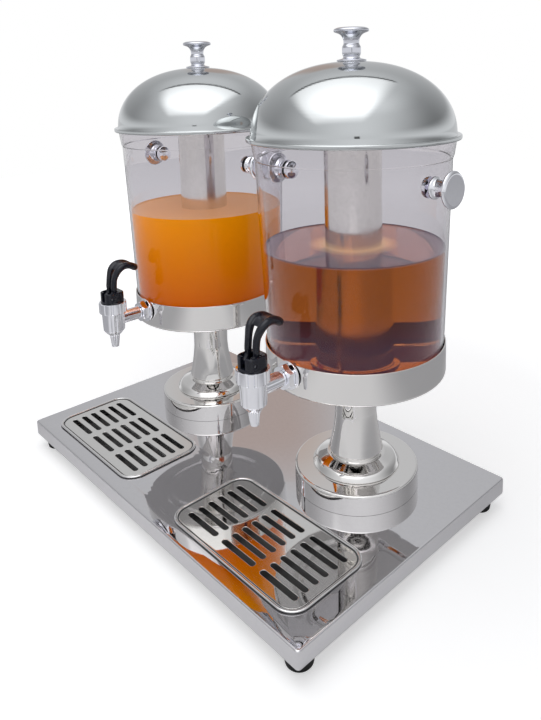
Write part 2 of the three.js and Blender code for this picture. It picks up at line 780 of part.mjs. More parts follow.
function lever() {
  const hub = pinCylinder(hubRadius, -hubHalfLength, hubHalfLength, smallFacets).translate(0, -pinOffset, pinRise);
  const bore = pinCylinder(pinRadius + runningGap, -bonnetRadius, bonnetRadius, smallFacets);
  bore.translate(0, -pinOffset, pinRise);
  const forkTop = stemTop - stemHeadHeight - forkGap;
  const forkInside = stemRadius + runningGap;
  const prongs = [-1, 1].map((side) => {
    const ends = [side * forkInside, side * (forkInside + forkWidth)].sort((a, b) => a - b);
    return toSolid(block([ends[0], -pinOffset, forkTop - forkThickness], [ends[1], forkOverhang, forkTop]));
  });
  const whole = join(toSolid(hub), leverLeg(-legSpread), leverLeg(legSpread), leverPaddle(), ...prongs);
  return cut(whole, toSolid(bore));
}

// The valve stem hangs in the lever's fork by its head, and carries the soft seat cup.
const cupBottom = chamberFloor + seatGap;
const cupTop = cupBottom + seatCupHeight;

function valveStem() {
  const bottom = cupTop - seatCupSocket + seatGap;
  return turned([
    [0, bottom], [stemRadius, bottom], [stemRadius, stemTop - stemHeadHeight],
    [stemHeadRadius, stemTop - stemHeadHeight], [stemHeadRadius, stemTop], [0, stemTop],
  ], smallFacets);
}

function seatCup() {
  const socket = stemRadius + runningGap;
  const seatCupRadius = chamberRadius - seatCupPlay;
  return turned([
    [0, cupBottom], [seatCupRadius, cupBottom], [seatCupRadius, cupBottom + seatCupSkirt],
    [seatCupTopRadius, cupTop], [socket, cupTop], [socket, cupTop - seatCupSocket], [0, cupTop - seatCupSocket],
  ], mediumFacets);
}

// The whole object

const group = new THREE.Group();

function add(parent, name, shape, look) {
  const geometry = toGeometry(shape.isBufferGeometry ? toSolid(shape) : shape);
  const mesh = new THREE.Mesh(geometry, new THREE.MeshStandardMaterial(look));
  mesh.name = name;
  parent.add(mesh);
  return mesh;
}

function addPedestal(unit, side) {
  add(unit, `${side}_drum`, drum(), mirrorSteel);
  add(unit, `${side}_column`, column(), mirrorSteel);
  add(unit, `${side}_column_bolt`, columnBolt(), mirrorSteel);
  add(unit, `${side}_pan`, pan(), mirrorSteel);
}

function addContainer(unit, side) {
  add(unit, `${side}_container`, container(), clearPlastic);
  add(unit, `${side}_ice_tube`, iceTube(), mirrorSteel);
  const innerWall = wallRadiusAt(sideKnobRise - sideCapRadius) - containerWall;
  const inside = Math.sqrt(innerWall ** 2 - sideCapRadius ** 2) - sideCapInset;
  for (const [end, turn] of [['inner', -1], ['outer', 1]]) {
    const direction = side === 'left' ? -turn : turn;
    const grip = add(unit, `${side}_${end}_grip_knob`, knob(sideKnobLength, sideKnobShares), chrome);
    grip.rotation.y = direction * Math.PI / 2;
    grip.position.set(direction * knobSeat, 0, sideKnobRise);
    const nut = add(unit, `${side}_${end}_grip_nut`, capNut(sideCapRadius), chrome);
    nut.rotation.y = -direction * Math.PI / 2;
    nut.position.set(direction * inside, 0, sideKnobRise);
  }
}

function addLid(unit, side) {
  add(unit, `${side}_lid`, lid(), domeSteel);
  add(unit, `${side}_lid_knob`, knob(lidKnobHeight, lidKnobShares), chrome).position.z = lidKnobSeat;
  const nut = add(unit, `${side}_lid_nut`, capNut(lidCapRadius), chrome);
  nut.rotation.x = Math.PI;
  nut.position.z = lidCapSeat;
}

function addTap(unit, side) {
  const tap = new THREE.Group();
  tap.position.y = -tapReach;
  unit.add(tap);
  add(tap, `${side}_tap_body`, tapBody(), chrome);
  add(tap, `${side}_tap_nut`, shankRing(hexRadius(hexNutFlats), nutFront, nutBack, hexSides), chrome);
  add(tap, `${side}_tap_washer`, shankRing(washerRadius, washerFront, washerBack, mediumFacets), chrome);
  add(tap, `${side}_tap_bush`, shankRing(bushRadius, bushFront, bushBack, mediumFacets), paleSilicone);
  add(tap, `${side}_tap_gasket`, shankRing(gasketRadius, gasketFront, gasketBack, mediumFacets), paleSilicone);
  add(tap, `${side}_tap_back_nut`, shankRing(hexRadius(backNutFlats), backNutFront, backNutBack, hexSides), chrome);
  add(tap, `${side}_tap_collar`, collar(), chrome);
  add(tap, `${side}_tap_bonnet`, bonnet(), blackPlastic);
  add(tap, `${side}_tap_pin`, pivotPin(), chrome);
  add(tap, `${side}_tap_lever`, lever(), blackPlastic);
  add(tap, `${side}_valve_stem`, valveStem(), chrome);
  add(tap, `${side}_seat_cup`, seatCup(), paleSilicone);
}

add(group, 'base_plate', basePlate(), mirrorSteel);
for (const [end, y] of [['front', -1], ['back', 1]]) {
  for (const [side, x] of [['left', -1], ['right', 1]]) {
    const place = add(group, `${end}_${side}_foot`, foot(), blackRubber).position;
    place.set(x * (baseLength / 2 - footInset), y * (baseDepth / 2 - footInset), 0);
  }
}
for (const [side, x] of [['left', -1], ['right', 1]]) {
  const place = [x * unitX, trayCentreY, plateTop];
  add(group, `${side}_drip_tray`, dripTray(), mirrorSteel).position.set(...place);
  add(group, `${side}_grille`, grille(), mirrorSteel).position.set(...place);
  const unit = new THREE.Group();
  unit.position.set(x * unitX, unitSetBack, plateTop);
  group.add(unit);
  addPedestal(unit, side);
  addContainer(unit, side);
  addLid(unit, side);
  addTap(unit, side);
}

export default group;
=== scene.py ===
# %% [markdown]
# # A twin juice dispenser
#
# On a buffet this machine keeps two drinks cold. Each drink stands in a clear container with a steel dome
# lid and a closed steel tube full of ice in its middle. The container sits in a polished pan on a spun
# column, and a small tap lets the drink out over a drip tray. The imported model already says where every
# piece is and how it moves. This lesson dresses it: each piece is made again as a smooth surface of the
# same size, and then gets its finish.

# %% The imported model
from functools import partial, reduce

import bmesh
import bpy
import numpy as np
from mathutils import Matrix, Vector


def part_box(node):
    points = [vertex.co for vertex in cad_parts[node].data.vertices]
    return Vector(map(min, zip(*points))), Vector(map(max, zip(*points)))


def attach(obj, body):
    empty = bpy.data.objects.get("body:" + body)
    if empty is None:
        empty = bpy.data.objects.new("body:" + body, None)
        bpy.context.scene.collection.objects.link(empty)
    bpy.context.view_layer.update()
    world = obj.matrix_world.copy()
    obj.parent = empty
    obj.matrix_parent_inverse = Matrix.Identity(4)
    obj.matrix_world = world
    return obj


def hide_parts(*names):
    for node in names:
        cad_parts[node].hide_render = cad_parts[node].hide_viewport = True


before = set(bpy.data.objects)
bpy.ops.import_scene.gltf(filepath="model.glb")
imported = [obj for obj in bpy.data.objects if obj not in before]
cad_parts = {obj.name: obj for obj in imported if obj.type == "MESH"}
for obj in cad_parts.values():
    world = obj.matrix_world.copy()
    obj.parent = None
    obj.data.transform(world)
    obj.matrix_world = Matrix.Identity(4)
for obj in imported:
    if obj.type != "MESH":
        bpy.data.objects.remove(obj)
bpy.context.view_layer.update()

# %% [markdown]
# ## The camera
#
# The photograph was taken from the front right, a little above the lids, by a camera that was aimed
# nearly level and then cropped. Such a crop is a shift of the lens. The camera's place and turn were
# fitted to corners and rims that can be seen in the photograph, so only the numbers are written here.

# %% Camera
SENSOR = 36.0
FRAME_HEIGHT = 720
EYE = np.array([0.62197, -0.48781, 0.51036])
YAW, PITCH, ROLL = np.radians([46.517, -9.047, -1.395])
FOCAL_PIXELS = 656.58
SHIFT_PIXELS = (-28.69, -180.0)

forward = np.array([-np.sin(YAW) * np.cos(PITCH), np.cos(YAW) * np.cos(PITCH), np.sin(PITCH)])
level = np.array([np.cos(YAW), np.sin(YAW), 0])
upright = np.cross(level, forward)
right = np.cos(ROLL) * level + np.sin(ROLL) * upright
up = np.cos(ROLL) * upright - np.sin(ROLL) * level

camera_data = bpy.data.cameras.new("camera")
camera_data.sensor_width = SENSOR
camera_data.lens = FOCAL_PIXELS * SENSOR / FRAME_HEIGHT
camera_data.shift_x = SHIFT_PIXELS[0] / FRAME_HEIGHT
camera_data.shift_y = SHIFT_PIXELS[1] / FRAME_HEIGHT
camera_data.clip_start = 0.01
camera = bpy.data.objects.new("camera", camera_data)
turn = np.eye(4)
turn[:3, 0], turn[:3, 1], turn[:3, 2], turn[:3, 3] = right, up, -forward, EYE
camera.matrix_world = Matrix(turn.tolist())
bpy.context.scene.collection.objects.link(camera)
bpy.context.scene.camera = camera
bpy.context.scene.view_settings.view_transform = "Standard"
print("lens", round(camera_data.lens, 2), "mm")

# %% [markdown]
# ## Where things stand
#
# Every length below is in millimetres, and every height counts from the top of the base plate. The places
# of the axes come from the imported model, so a piece lands exactly on the solid that it stands for.

# %% Axes of the machine
MM = 0.001


def corners_of(node):
    """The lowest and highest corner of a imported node, in millimetres."""
    low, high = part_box(node)
    return np.array(low) / MM, np.array(high) / MM


def middle_of(node):
    """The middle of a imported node's box, in millimetres."""
    low, high = corners_of(node)
    return (low + high) / 2


PLATE_TOP = corners_of("base_plate")[1][2]
SIDES = ("left", "right")
UNIT = {side: np.array([*middle_of(f"{side}_drum")[:2], PLATE_TOP]) for side in SIDES}
TAP = {side: np.array([*middle_of(f"{side}_tap_collar")[:2], PLATE_TOP]) for side in SIDES}
TRAY = {side: np.array([*middle_of(f"{side}_drip_tray")[:2], PLATE_TOP]) for side in SIDES}
TAP_REACH = UNIT["right"][1] - TAP["right"][1]
print("plate top", round(PLATE_TOP, 1), "tap reach", round(TAP_REACH, 2), "unit at", UNIT["right"].round(2))

# %% [markdown]
# ## Surfaces from arrays
#
# Spun and turned parts are a profile carried round an axis. Pressed trays are a profile carried round a
# rounded rectangle. Both are a grid of points, one row for each point of the profile, so one function can
# turn any of them into faces. The profiles are short lists of corners, and each corner may be eased, as a
# real edge always is.

# %% Profiles


def eased(corners, steps=5):
    """An outline (across, up, ease) with eased corners. Round a corner p the curve is the parabola (1-t)^2
    a + 2t(1-t) p + t^2 b, where a and b lie on the two sides at the distance ease from p."""
    rows = np.array([(*corner, 0)[:3] for corner in corners], float)
    points, ease = rows[:, :2], rows[:, 2:]
    before, after = np.roll(points, 1, 0) - points, np.roll(points, -1, 0) - points
    reach = [np.maximum(np.linalg.norm(side, axis=1, keepdims=True), 1e-9) for side in (before, after)]
    ease = np.minimum(ease, 0.49 * np.minimum(*reach))
    a, b = points + before / reach[0] * ease, points + after / reach[1] * ease
    t = np.linspace(0, 1, steps)[None, :, None]
    curve = (1 - t) ** 2 * a[:, None] + 2 * t * (1 - t) * points[:, None] + t ** 2 * b[:, None]
    curve = curve.reshape(-1, 2)
    return curve[np.r_[True, np.linalg.norm(np.diff(curve, axis=0), axis=1) > 1e-5]]


SQUARE = [(0, 0, 2), (9, 0, 2), (9, 9, 2), (0, 9, 2)]
print("a square with eased corners has", len(eased(SQUARE)), "points")

# %% [markdown]
# Some outlines have no corners at all. Those are drawn through a few points by a curve whose slope at
# each point is taken from its two neighbours.

# %% Smooth outlines


def smoothed(points, steps=8):
    """A curve through the points: between p1 and p2 it is the cubic whose slopes are (p2-p0)/2 and
    (p3-p1)/2."""
    p = np.array(points, float)
    p = np.vstack([2 * p[0] - p[1], p, 2 * p[-1] - p[-2]])
    p0, p1, p2, p3 = p[:-3, None], p[1:-2, None], p[2:-1, None], p[3:, None]
    t = np.linspace(0, 1, steps, endpoint=False)[None, :, None]
    curve = 0.5 * (2 * p1 + (p2 - p0) * t + (2 * p0 - 5 * p1 + 4 * p2 - p3) * t ** 2
                   + (3 * p1 - p0 - 3 * p2 + p3) * t ** 3)
    return np.vstack([curve.reshape(-1, p.shape[1]), p[-2]])


print("a curve through 4 points has", len(smoothed([(0, 0), (1, 2), (3, 3), (5, 3)])), "points")

# %% [markdown]
# A grid of points becomes a surface when every point is joined to the neighbours beside it and above it.
# The last column always joins the first here, and the last row may join the first too, as round a ring.

# %% Grids of points


def faces_of(rows, columns, ring):
    """Four-sided faces between neighbours on a grid. The last column joins the first, and where ring is true
    the last row joins the first as well."""
    here = np.arange(rows * columns).reshape(rows, columns)
    beside, above = np.roll(here, -1, 1), np.roll(here, -1, 0)
    quads = np.stack([here, beside, np.roll(beside, -1, 0), above], -1)
    return (quads if ring else quads[:-1]).reshape(-1, 4).tolist()


def sheet(points, ring=False):
    """A part made of one grid of points (rows, columns, 3)."""
    return points.reshape(-1, 3), faces_of(*points.shape[:2], ring)


def capped(points):
    """A tube of rows with a flat face on its first and last row."""
    rows, columns = points.shape[:2]
    first, last = np.arange(columns)[::-1], np.arange(columns) + (rows - 1) * columns
    return points.reshape(-1, 3), faces_of(rows, columns, False) + [first.tolist(), last.tolist()]


def together(*parts):
    """Several parts as one, with the second part's point numbers moved on by the first one's count, and so
    on."""
    starts = np.cumsum([0] + [len(points) for points, _ in parts])
    faces = [[i + int(start) for i in face] for (_, some), start in zip(parts, starts) for face in some]
    return np.vstack([points for points, _ in parts]), faces


print("a tube of 3 rows and 8 columns has", len(faces_of(3, 8, False)), "faces")

# %% [markdown]
# Most pieces of the dispenser are turned on a lathe, so their outline is carried round an upright axis.
# The trays and the base are pressed or folded, so theirs goes round a rectangle with round corners.

# %% Turned and pressed shapes


def angles(count):
    """Even steps round a circle."""
    return np.linspace(0, 2 * np.pi, count, endpoint=False)


def carried(across, rise, a):
    """Points at the angles a round Z: x = across cos a, y = across sin a, z = rise."""
    return np.stack([across * np.cos(a), across * np.sin(a), rise + 0 * a], -1)


def turned(outline, around=128):
    """The outline (across, up) carried round Z."""
    return carried(outline[:, :1], outline[:, 1:], angles(around))


def spun(corners, around=128, ring=False, steps=5):
    """A lathe part from a list of eased corners. It is closed as a ring, or ends on the axis at both
    ends."""
    return sheet(turned(eased(corners, steps), around), ring)


def rounded_plan(length, depth, corner, inset, per_corner=10):
    """Points round a rounded rectangle that is drawn in by inset: each corner's centre stays where it is,
    and its radius becomes corner - inset."""
    quarter = np.linspace(0, np.pi / 2, per_corner)
    a = (quarter + np.arange(4)[:, None] * np.pi / 2).ravel()
    sign = np.repeat([[1, 1], [-1, 1], [-1, -1], [1, -1]], per_corner, 0)
    inset = np.asarray(inset, float)[..., None]
    radius = np.maximum(corner - inset, 0.05)
    x = sign[:, 0] * (length / 2 - inset - radius) + radius * np.cos(a)
    y = sign[:, 1] * (depth / 2 - inset - radius) + radius * np.sin(a)
    return np.stack([x, y], -1)


def pressed(length, depth, corner, outline, per_corner=10):
    """The outline (inset, up) carried round a rounded rectangle."""
    plan = rounded_plan(length, depth, corner, outline[:, 0], per_corner)
    rise = np.broadcast_to(outline[:, 1][:, None, None], (*plan.shape[:2], 1))
    return np.concatenate([plan, rise], -1)


print("a plain turned disc has", len(spun([(0, 0), (5, 0), (5, 1), (0, 1)])[1]), "faces")

# %% [markdown]
# A turned part may lie on its side. Turning it is a matter of renaming its axes in an order that keeps it
# from becoming its own mirror image.

# %% Turning parts
AIM = {
    "up": np.eye(3),
    "down": np.diag([1.0, -1, -1]),
    "right": np.array([[0.0, 0, 1], [1, 0, 0], [0, 1, 0]]),
    "left": np.array([[0.0, 0, -1], [-1, 0, 0], [0, 1, 0]]),
    "back": np.array([[1.0, 0, 0], [0, 0, 1], [0, -1, 0]]),
    "front": np.array([[1.0, 0, 0], [0, 0, -1], [0, 1, 0]]),
}


def placed(part, at=(0, 0, 0), aim="up"):
    """The part with its own up turned to aim, and its origin moved to at."""
    points, faces = part
    return points @ AIM[aim].T + np.array(at, float), faces


print("ways to aim a part:", ", ".join(AIM))

# %% [markdown]
# A part is only numbers. Its mesh is made from all of them at once, and may then be mended, for example
# where points fall together at poles and seams.

# %% Meshes
SAME_PLACE = 2e-7


def merged(work):
    """Joins the points that lie in one place."""
    bmesh.ops.remove_doubles(work, verts=work.verts, dist=SAME_PLACE)


def turned_out(work):
    """Makes neighbouring faces agree, all to the outside."""
    bmesh.ops.recalc_face_normals(work, faces=work.faces)


def mesh_of(name, part, *mends):
    """A mesh of the part, in metres, that the mends have worked on in that order."""
    points, faces = part
    mesh = bpy.data.meshes.new(name)
    mesh.from_pydata((points * MM).tolist(), [], faces)
    work = bmesh.new()
    work.from_mesh(mesh)
    for mend in mends:
        mend(work)
    work.to_mesh(mesh)
    work.free()
    return mesh


def shown(name, mesh):
    """An object with that mesh, in the scene."""
    item = bpy.data.objects.new(name, mesh)
    bpy.context.scene.collection.objects.link(item)
    return item


print("points nearer than", SAME_PLACE, "m count as one")

# %% [markdown]
# One function turns a part into a piece. It merges the points that fall together, shades the faces smooth
# except at sharp edges, and hands the object to the body that carries it. The place is in the mesh and
# the object itself stays at the origin, as the imported nodes do.

# %% Making a piece
SLOTS = (("dome_steel", "dome_steel"), ("chrome", "chrome"), ("bare_steel_in_painted_shade", "chrome"),
         ("steel", "mirror_steel"), ("clear_plastic", "clear_plastic"), ("black_plastic", "black_plastic"),
         ("black_rubber", "black_rubber"), ("pale_silicone", "pale_silicone"))
SHARP_ENOUGH = np.radians(40)


def made(name, part, body, finish, stands_for=(), facing=None, sharp=35, bevel=0, wall=0):
    """An object named name that rides on a body. facing is the way that most of an open skin looks, wall
    gives a skin its thickness inwards, and bevel eases its sharp edges."""
    def faced(work):
        turned_out(work)
        if sum(face.normal.dot(facing) * face.calc_area() for face in work.faces) < 0:
            bmesh.ops.reverse_faces(work, faces=work.faces)

    mesh = mesh_of(name, part, merged, *([] if facing is None else [faced]))
    mesh.shade_smooth()
    mesh.set_sharp_from_angle(angle=np.radians(sharp))
    mesh.materials.append(finish)
    piece = shown(name, mesh)
    if wall:
        skin = piece.modifiers.new("wall", "SOLIDIFY")
        skin.thickness, skin.offset, skin.use_even_offset = wall * MM, -1, True
    if bevel:
        edge = piece.modifiers.new("edge", "BEVEL")
        edge.width, edge.segments, edge.limit_method = bevel * MM, 2, "ANGLE"
        edge.angle_limit = SHARP_ENOUGH
    piece.modifiers.new("normals", "WEIGHTED_NORMAL").keep_sharp = True
    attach(piece, body)
    if stands_for:
        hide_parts(*([stands_for] if isinstance(stands_for, str) else stands_for))
    return piece


print("slots to fill:", ", ".join(dict.fromkeys(slot for _, slot in SLOTS)))

# %% [markdown]
# ## Finishes
#
# Polished steel has almost no colour of its own. What gives it away is what it mirrors, a slight warmth,
# and the small waves that spinning and pressing leave. So its nodes mostly vary the roughness and bend
# the surface a little, and add a painted shade under things and deep in trays. The pattern reads Object
# coordinates, which here are the machine's own, so it stays put when the camera moves.

# %% Node helpers


def shader(name):
    """A new material, with its node tree and its main shader."""
    material = bpy.data.materials.new(name)
    material.use_nodes = True
    tree = material.node_tree
    return material, tree, tree.nodes["Principled BSDF"]


def add(tree, kind, **settings):
    """A node of that kind, with its own settings and its sockets' values by name."""
    node = tree.nodes.new(f"ShaderNode{kind}")
    for key, value in settings.items():
        if hasattr(node, key):
            setattr(node, key, value)
        else:
            node.inputs[key.replace("_", " ").title()].default_value = value
    return node


def join(tree, *ends):
    """Links pairs of sockets."""
    for start, end in zip(ends[::2], ends[1::2]):
        tree.links.new(start, end)


def in_parts(tree, vector):
    """A vector's three parts, as the sockets of one node."""
    node = add(tree, "SeparateXYZ")
    join(tree, vector, node.inputs["Vector"])
    return node.outputs


def facing_up(tree):
    """How far the surface looks up, from -1 to 1, in the piece's own frame."""
    return in_parts(tree, add(tree, "TexCoord").outputs["Normal"])["Z"]


def along(tree, place, way):
    """How much of the vector place lies along way: their dot product."""
    node = add(tree, "VectorMath", operation="DOT_PRODUCT")
    node.inputs[1].default_value = tuple(np.asarray(way, float).tolist())
    join(tree, place, node.inputs[0])
    return node.outputs["Value"]


print("the picture's way to the right:", level.round(3))

# %% [markdown]
# Most of what a finish does is arithmetic: a value that rises between two limits, or a colour between two
# colours. These helpers take either a plain value or the socket of another node.

# %% Arithmetic with nodes


def worked(tree, operation, *values):
    """One step of arithmetic on sockets or numbers."""
    node = add(tree, "Math", operation=operation)
    for socket, value in zip(node.inputs, values):
        if hasattr(value, "links"):
            join(tree, value, socket)
        else:
            socket.default_value = value
    return node.outputs[0]


def step(tree, value, start, end):
    """0 before start, 1 after end, and a smooth rise between them."""
    span = add(tree, "MapRange", interpolation_type="SMOOTHSTEP")
    span.inputs["From Min"].default_value, span.inputs["From Max"].default_value = start, end
    join(tree, value, span.inputs["Value"])
    return span.outputs["Result"]


def own_coordinates(tree, centre=(0, 0, 0), scale=(1, 1, 1)):
    """Object coordinates in metres, counted from centre and then scaled."""
    place = add(tree, "TexCoord")
    shift = add(tree, "Mapping", vector_type="POINT")
    shift.inputs["Location"].default_value = [-c * s for c, s in zip(centre, scale)]
    shift.inputs["Scale"].default_value = scale
    join(tree, place.outputs["Object"], shift.inputs["Vector"])
    return shift.outputs["Vector"]


def mixed(tree, share, first, second, **settings):
    """first, second or a mix of the two colours by share. Each may be a colour or a socket."""
    node = add(tree, "Mix", data_type="RGBA", **settings)
    for socket, value in ((node.inputs["Factor"], share), (node.inputs[6], first), (node.inputs[7], second)):
        if hasattr(value, "links"):
            join(tree, value, socket)
        else:
            socket.default_value = (*value, 1) if isinstance(value, tuple) else value
    return node.outputs[2]


def ramp(tree, value, low, high, start=0.0, end=1.0):
    """value between start and end, taken to low..high. The ends may be numbers or colours."""
    node = add(tree, "Mix", data_type="RGBA" if isinstance(low, tuple) else "FLOAT", clamp_factor=True)
    span = add(tree, "MapRange", clamp=True)
    span.inputs["From Min"].default_value, span.inputs["From Max"].default_value = start, end
    join(tree, value, span.inputs["Value"], span.outputs["Result"], node.inputs["Factor"])
    kind = 6 if isinstance(low, tuple) else 2
    node.inputs[kind].default_value = (*low, 1) if isinstance(low, tuple) else low
    node.inputs[kind + 1].default_value = (*high, 1) if isinstance(high, tuple) else high
    return node.outputs[2 if isinstance(low, tuple) else 0]


def linear(red, green, blue):
    """A screen colour of 0 to 255 as the light that the shader wants."""
    c = np.array([red, green, blue]) / 255
    return tuple(np.where(c <= 0.04045, c / 12.92, ((c + 0.055) / 1.055) ** 2.4).tolist())


print("screen grey 128 is", round(linear(128, 128, 128)[0], 3), "of white's light")

# %% [markdown]
# The same polished sheet is used all over the machine, so one function makes every steel. A piece that
# was spun on a lathe also shows faint rings round its axis. Deep inside a tray the metal mirrors less
# and gets a painted shade, so it goes dark there.

# %% Polished steel
GRAIN, CLOUDS, RING_COUNT = 260, 28, 180
WAVE_DEPTH, RING_DEPTH, SHADE_DEPTH = 0.002, 0.0002, 0.001
UNDERSIDE_SHADE, DEEP_SHADE = 0.78, 0.2


def steel(name, tone, roughness, waves, wave_size, centre=(0, 0, 0), rings=0.0, smear=0.0, dark_under=None):
    """Polished metal: noise varies its roughness, long waves bend it, and rings run round its axis if it
    was spun. Undersides get a painted shade, so they are a little darker. Below the height dark_under,
    in metres, the metal gets a painted shade and mirrors less, as in the deep inside of a tray."""
    material, tree, metal = shader(name)
    metal.inputs["Metallic"].default_value = 1
    place = own_coordinates(tree, centre)
    fine, cloud = add(tree, "TexNoise", Scale=GRAIN, Detail=3), add(tree, "TexNoise", Scale=CLOUDS, Detail=2)
    join(tree, place, fine.inputs["Vector"], place, cloud.inputs["Vector"])
    worn = tuple(c * (1 - smear) for c in tone)
    colour = ramp(tree, fine.outputs["Fac"], worn, tone, 0.3, 0.6)
    # Undersides get a painted shade: their colour is a little darker where the surface looks down.
    shade = ramp(tree, facing_up(tree), UNDERSIDE_SHADE, 1.0, -0.8, -0.4)
    gloss = ramp(tree, cloud.outputs["Fac"], roughness * 0.7, roughness * 1.4, 0.35, 0.7)
    join(tree, gloss, metal.inputs["Roughness"])
    # Below dark_under the colour gets a painted shade and the metal mirrors less.
    if dark_under is not None:
        lit = ramp(tree, in_parts(tree, place)["Z"], DEEP_SHADE, 1.0, dark_under - SHADE_DEPTH, dark_under)
        join(tree, lit, metal.inputs["Metallic"])
        shade = worked(tree, "MULTIPLY", shade, lit)
    join(tree, mixed(tree, 1, colour, shade, blend_type="MULTIPLY"), metal.inputs["Base Color"])
    wave = add(tree, "TexNoise", Scale=wave_size, Detail=1)
    bend = add(tree, "Bump", Strength=waves, Distance=WAVE_DEPTH)
    join(tree, place, wave.inputs["Vector"], wave.outputs["Fac"], bend.inputs["Height"])
    if rings:
        lines = add(tree, "TexWave", wave_type="RINGS", rings_direction="Z", Scale=RING_COUNT, Distortion=1.5,
                    Detail=3)
        turn_marks = add(tree, "Bump", Strength=rings, Distance=RING_DEPTH)
        join(tree, place, lines.inputs["Vector"], lines.outputs["Fac"], turn_marks.inputs["Height"],
             turn_marks.outputs["Normal"], bend.inputs["Normal"])
    join(tree, bend.outputs["Normal"], metal.inputs["Normal"])
    return material


def axis_of(side):
    """The unit's axis in metres, as the centre for a spun pattern."""
    return tuple((UNIT[side] * MM).tolist())


# Heights below which the tray and the grille get a painted shade.
TRAY_SHADE, GRILLE_SHADE = ((PLATE_TOP + above) * MM for above in (1.8, 0.4))
plate_steel = steel("plate_steel", (0.77, 0.76, 0.78), 0.03, 0.02, 9, smear=0.02)
tray_steel = steel("tray_steel", (0.84, 0.83, 0.83), 0.03, 0.03, 40, smear=0.02, dark_under=TRAY_SHADE)
grille_steel = steel("grille_steel", (0.84, 0.83, 0.81), 0.03, 0.03, 40, smear=0.02, dark_under=GRILLE_SHADE)
stand_steel, dome_steel, tube_steel = {}, {}, {}
for side in SIDES:
    axis = axis_of(side)
    stand_steel[side] = steel(f"{side}_stand_steel", (0.88, 0.865, 0.85), 0.03, 0.02, 20, axis, 0.02)
    dome_steel[side] = steel(f"{side}_dome_steel", (0.63, 0.65, 0.655), 0.06, 0.02, 12, axis, 0.03)
    tube_steel[side] = steel(f"{side}_tube_steel", (0.84, 0.82, 0.79), 0.16, 0.02, 14, axis, 0.03, 0.06)
chrome = steel("chrome", (0.95, 0.955, 1.0), 0.03, 0.02, 60, smear=0.02)
knob_chrome = steel("knob_chrome", (0.74, 0.75, 0.81), 0.03, 0.02, 60, smear=0.02)
# The stem and the pin are bare steel, and their dark tone is a painted shade, as they sit inside the tap.
bare_steel_in_painted_shade = steel("bare_steel_in_painted_shade", (0.20, 0.20, 0.22), 0.35, 0.05, 60, smear=0.1)
print("kinds of steel:", len(bpy.data.materials))

# %% [markdown]
# The container is clear plastic. In a path tracer its shadow would be black speckle unless a lamp's ray
# is let through, so shadow rays meet a transparent shader instead of the glass. The plastic has a faint
# lavender cast.

# %% Clear plastic


def see_through(name, tint, ior, roughness, shadow_tint):
    """A clear body: glass to the eye, and a tinted transparent shader to a lamp's ray."""
    material, tree, glass = shader(name)
    glass.inputs["Transmission Weight"].default_value = 1
    glass.inputs["IOR"].default_value = ior
    glass.inputs["Roughness"].default_value = roughness
    glass.inputs["Base Color"].default_value = (*tint, 1)
    open_way = add(tree, "BsdfTransparent")
    open_way.inputs["Color"].default_value = (*shadow_tint, 1)
    path, choice = add(tree, "LightPath"), add(tree, "MixShader")
    out = tree.nodes["Material Output"]
    join(tree, path.outputs["Is Shadow Ray"], choice.inputs[0], glass.outputs[0], choice.inputs[1],
         open_way.outputs[0], choice.inputs[2], choice.outputs[0], out.inputs["Surface"])
    return material, tree, glass


def plastic():
    """Clear plastic with the faint ripple of a moulded wall."""
    material, tree, glass = see_through("clear_plastic", (0.87, 0.855, 0.88), 1.42, 0.0, (0.93, 0.93, 0.93))
    glass.inputs["Specular Tint"].default_value = (0.17, 0.17, 0.185, 1)
    ripple = add(tree, "TexNoise", Scale=9, Detail=1)
    bend = add(tree, "Bump", Strength=0.03, Distance=0.003)
    join(tree, own_coordinates(tree), ripple.inputs["Vector"], ripple.outputs["Fac"], bend.inputs["Height"],
         bend.outputs["Normal"], glass.inputs["Normal"])
    return material


clear_plastic = plastic()
print("clear plastic has", len(clear_plastic.node_tree.nodes), "nodes")

# %% [markdown]
# The black parts are moulded and have a fine grain. It shows as small differences in colour and gloss
# more than as real bumps, so both come from one noise.

# %% Black plastic, rubber and silicone


def moulded(name, tone, roughness, grain, depth, sheen=0.0):
    """A moulded part: a fine grain in its colour, roughness and surface."""
    material, tree, body = shader(name)
    place = own_coordinates(tree)
    noise = add(tree, "TexNoise", Scale=grain, Detail=4)
    join(tree, place, noise.inputs["Vector"])
    grey = noise.outputs["Fac"]
    skin = add(tree, "Bump", Strength=depth, Distance=0.0003)
    join(tree, ramp(tree, grey, tone, tuple(c * 1.5 for c in tone), 0.4, 0.7), body.inputs["Base Color"],
         ramp(tree, grey, roughness * 0.8, roughness * 1.2, 0.3, 0.7), body.inputs["Roughness"],
         grey, skin.inputs["Height"], skin.outputs["Normal"], body.inputs["Normal"])
    body.inputs["Coat Weight"].default_value = sheen
    body.inputs["Specular IOR Level"].default_value = 0.3
    return material


black_plastic = moulded("black_plastic", (0.009, 0.010, 0.018), 0.2, 900, 0.04, 0.35)
black_rubber = moulded("black_rubber", (0.012, 0.012, 0.012), 0.6, 500, 0.2)
pale_silicone = moulded("pale_silicone", (0.62, 0.61, 0.57), 0.45, 300, 0.1)
print("moulded finishes:", black_plastic.name, black_rubber.name, pale_silicone.name)

# %% [markdown]
# ## Drinks
#
# Orange juice is cloudy: light goes in a little way and comes back out. So it is an opaque colour, deeper
# towards the bottom, where pulp settles. Its top is paler, a painted reflection of the bright wall round
# it. A little light of its own, a painted glow, stands for the light that wanders about inside it.

# %% Juice
# The first colour is the top's painted reflection of the bright wall.
JUICE_REFLECTION, JUICE_TOP, JUICE_LOW = linear(236, 172, 122), linear(254, 156, 5), linear(206, 86, 2)
PALE_HEIGHT, DEEP_HEIGHT, PULP, PULP_SHARE, INNER_LIGHT = 0.33, 0.19, 220, 0.12, 0.34


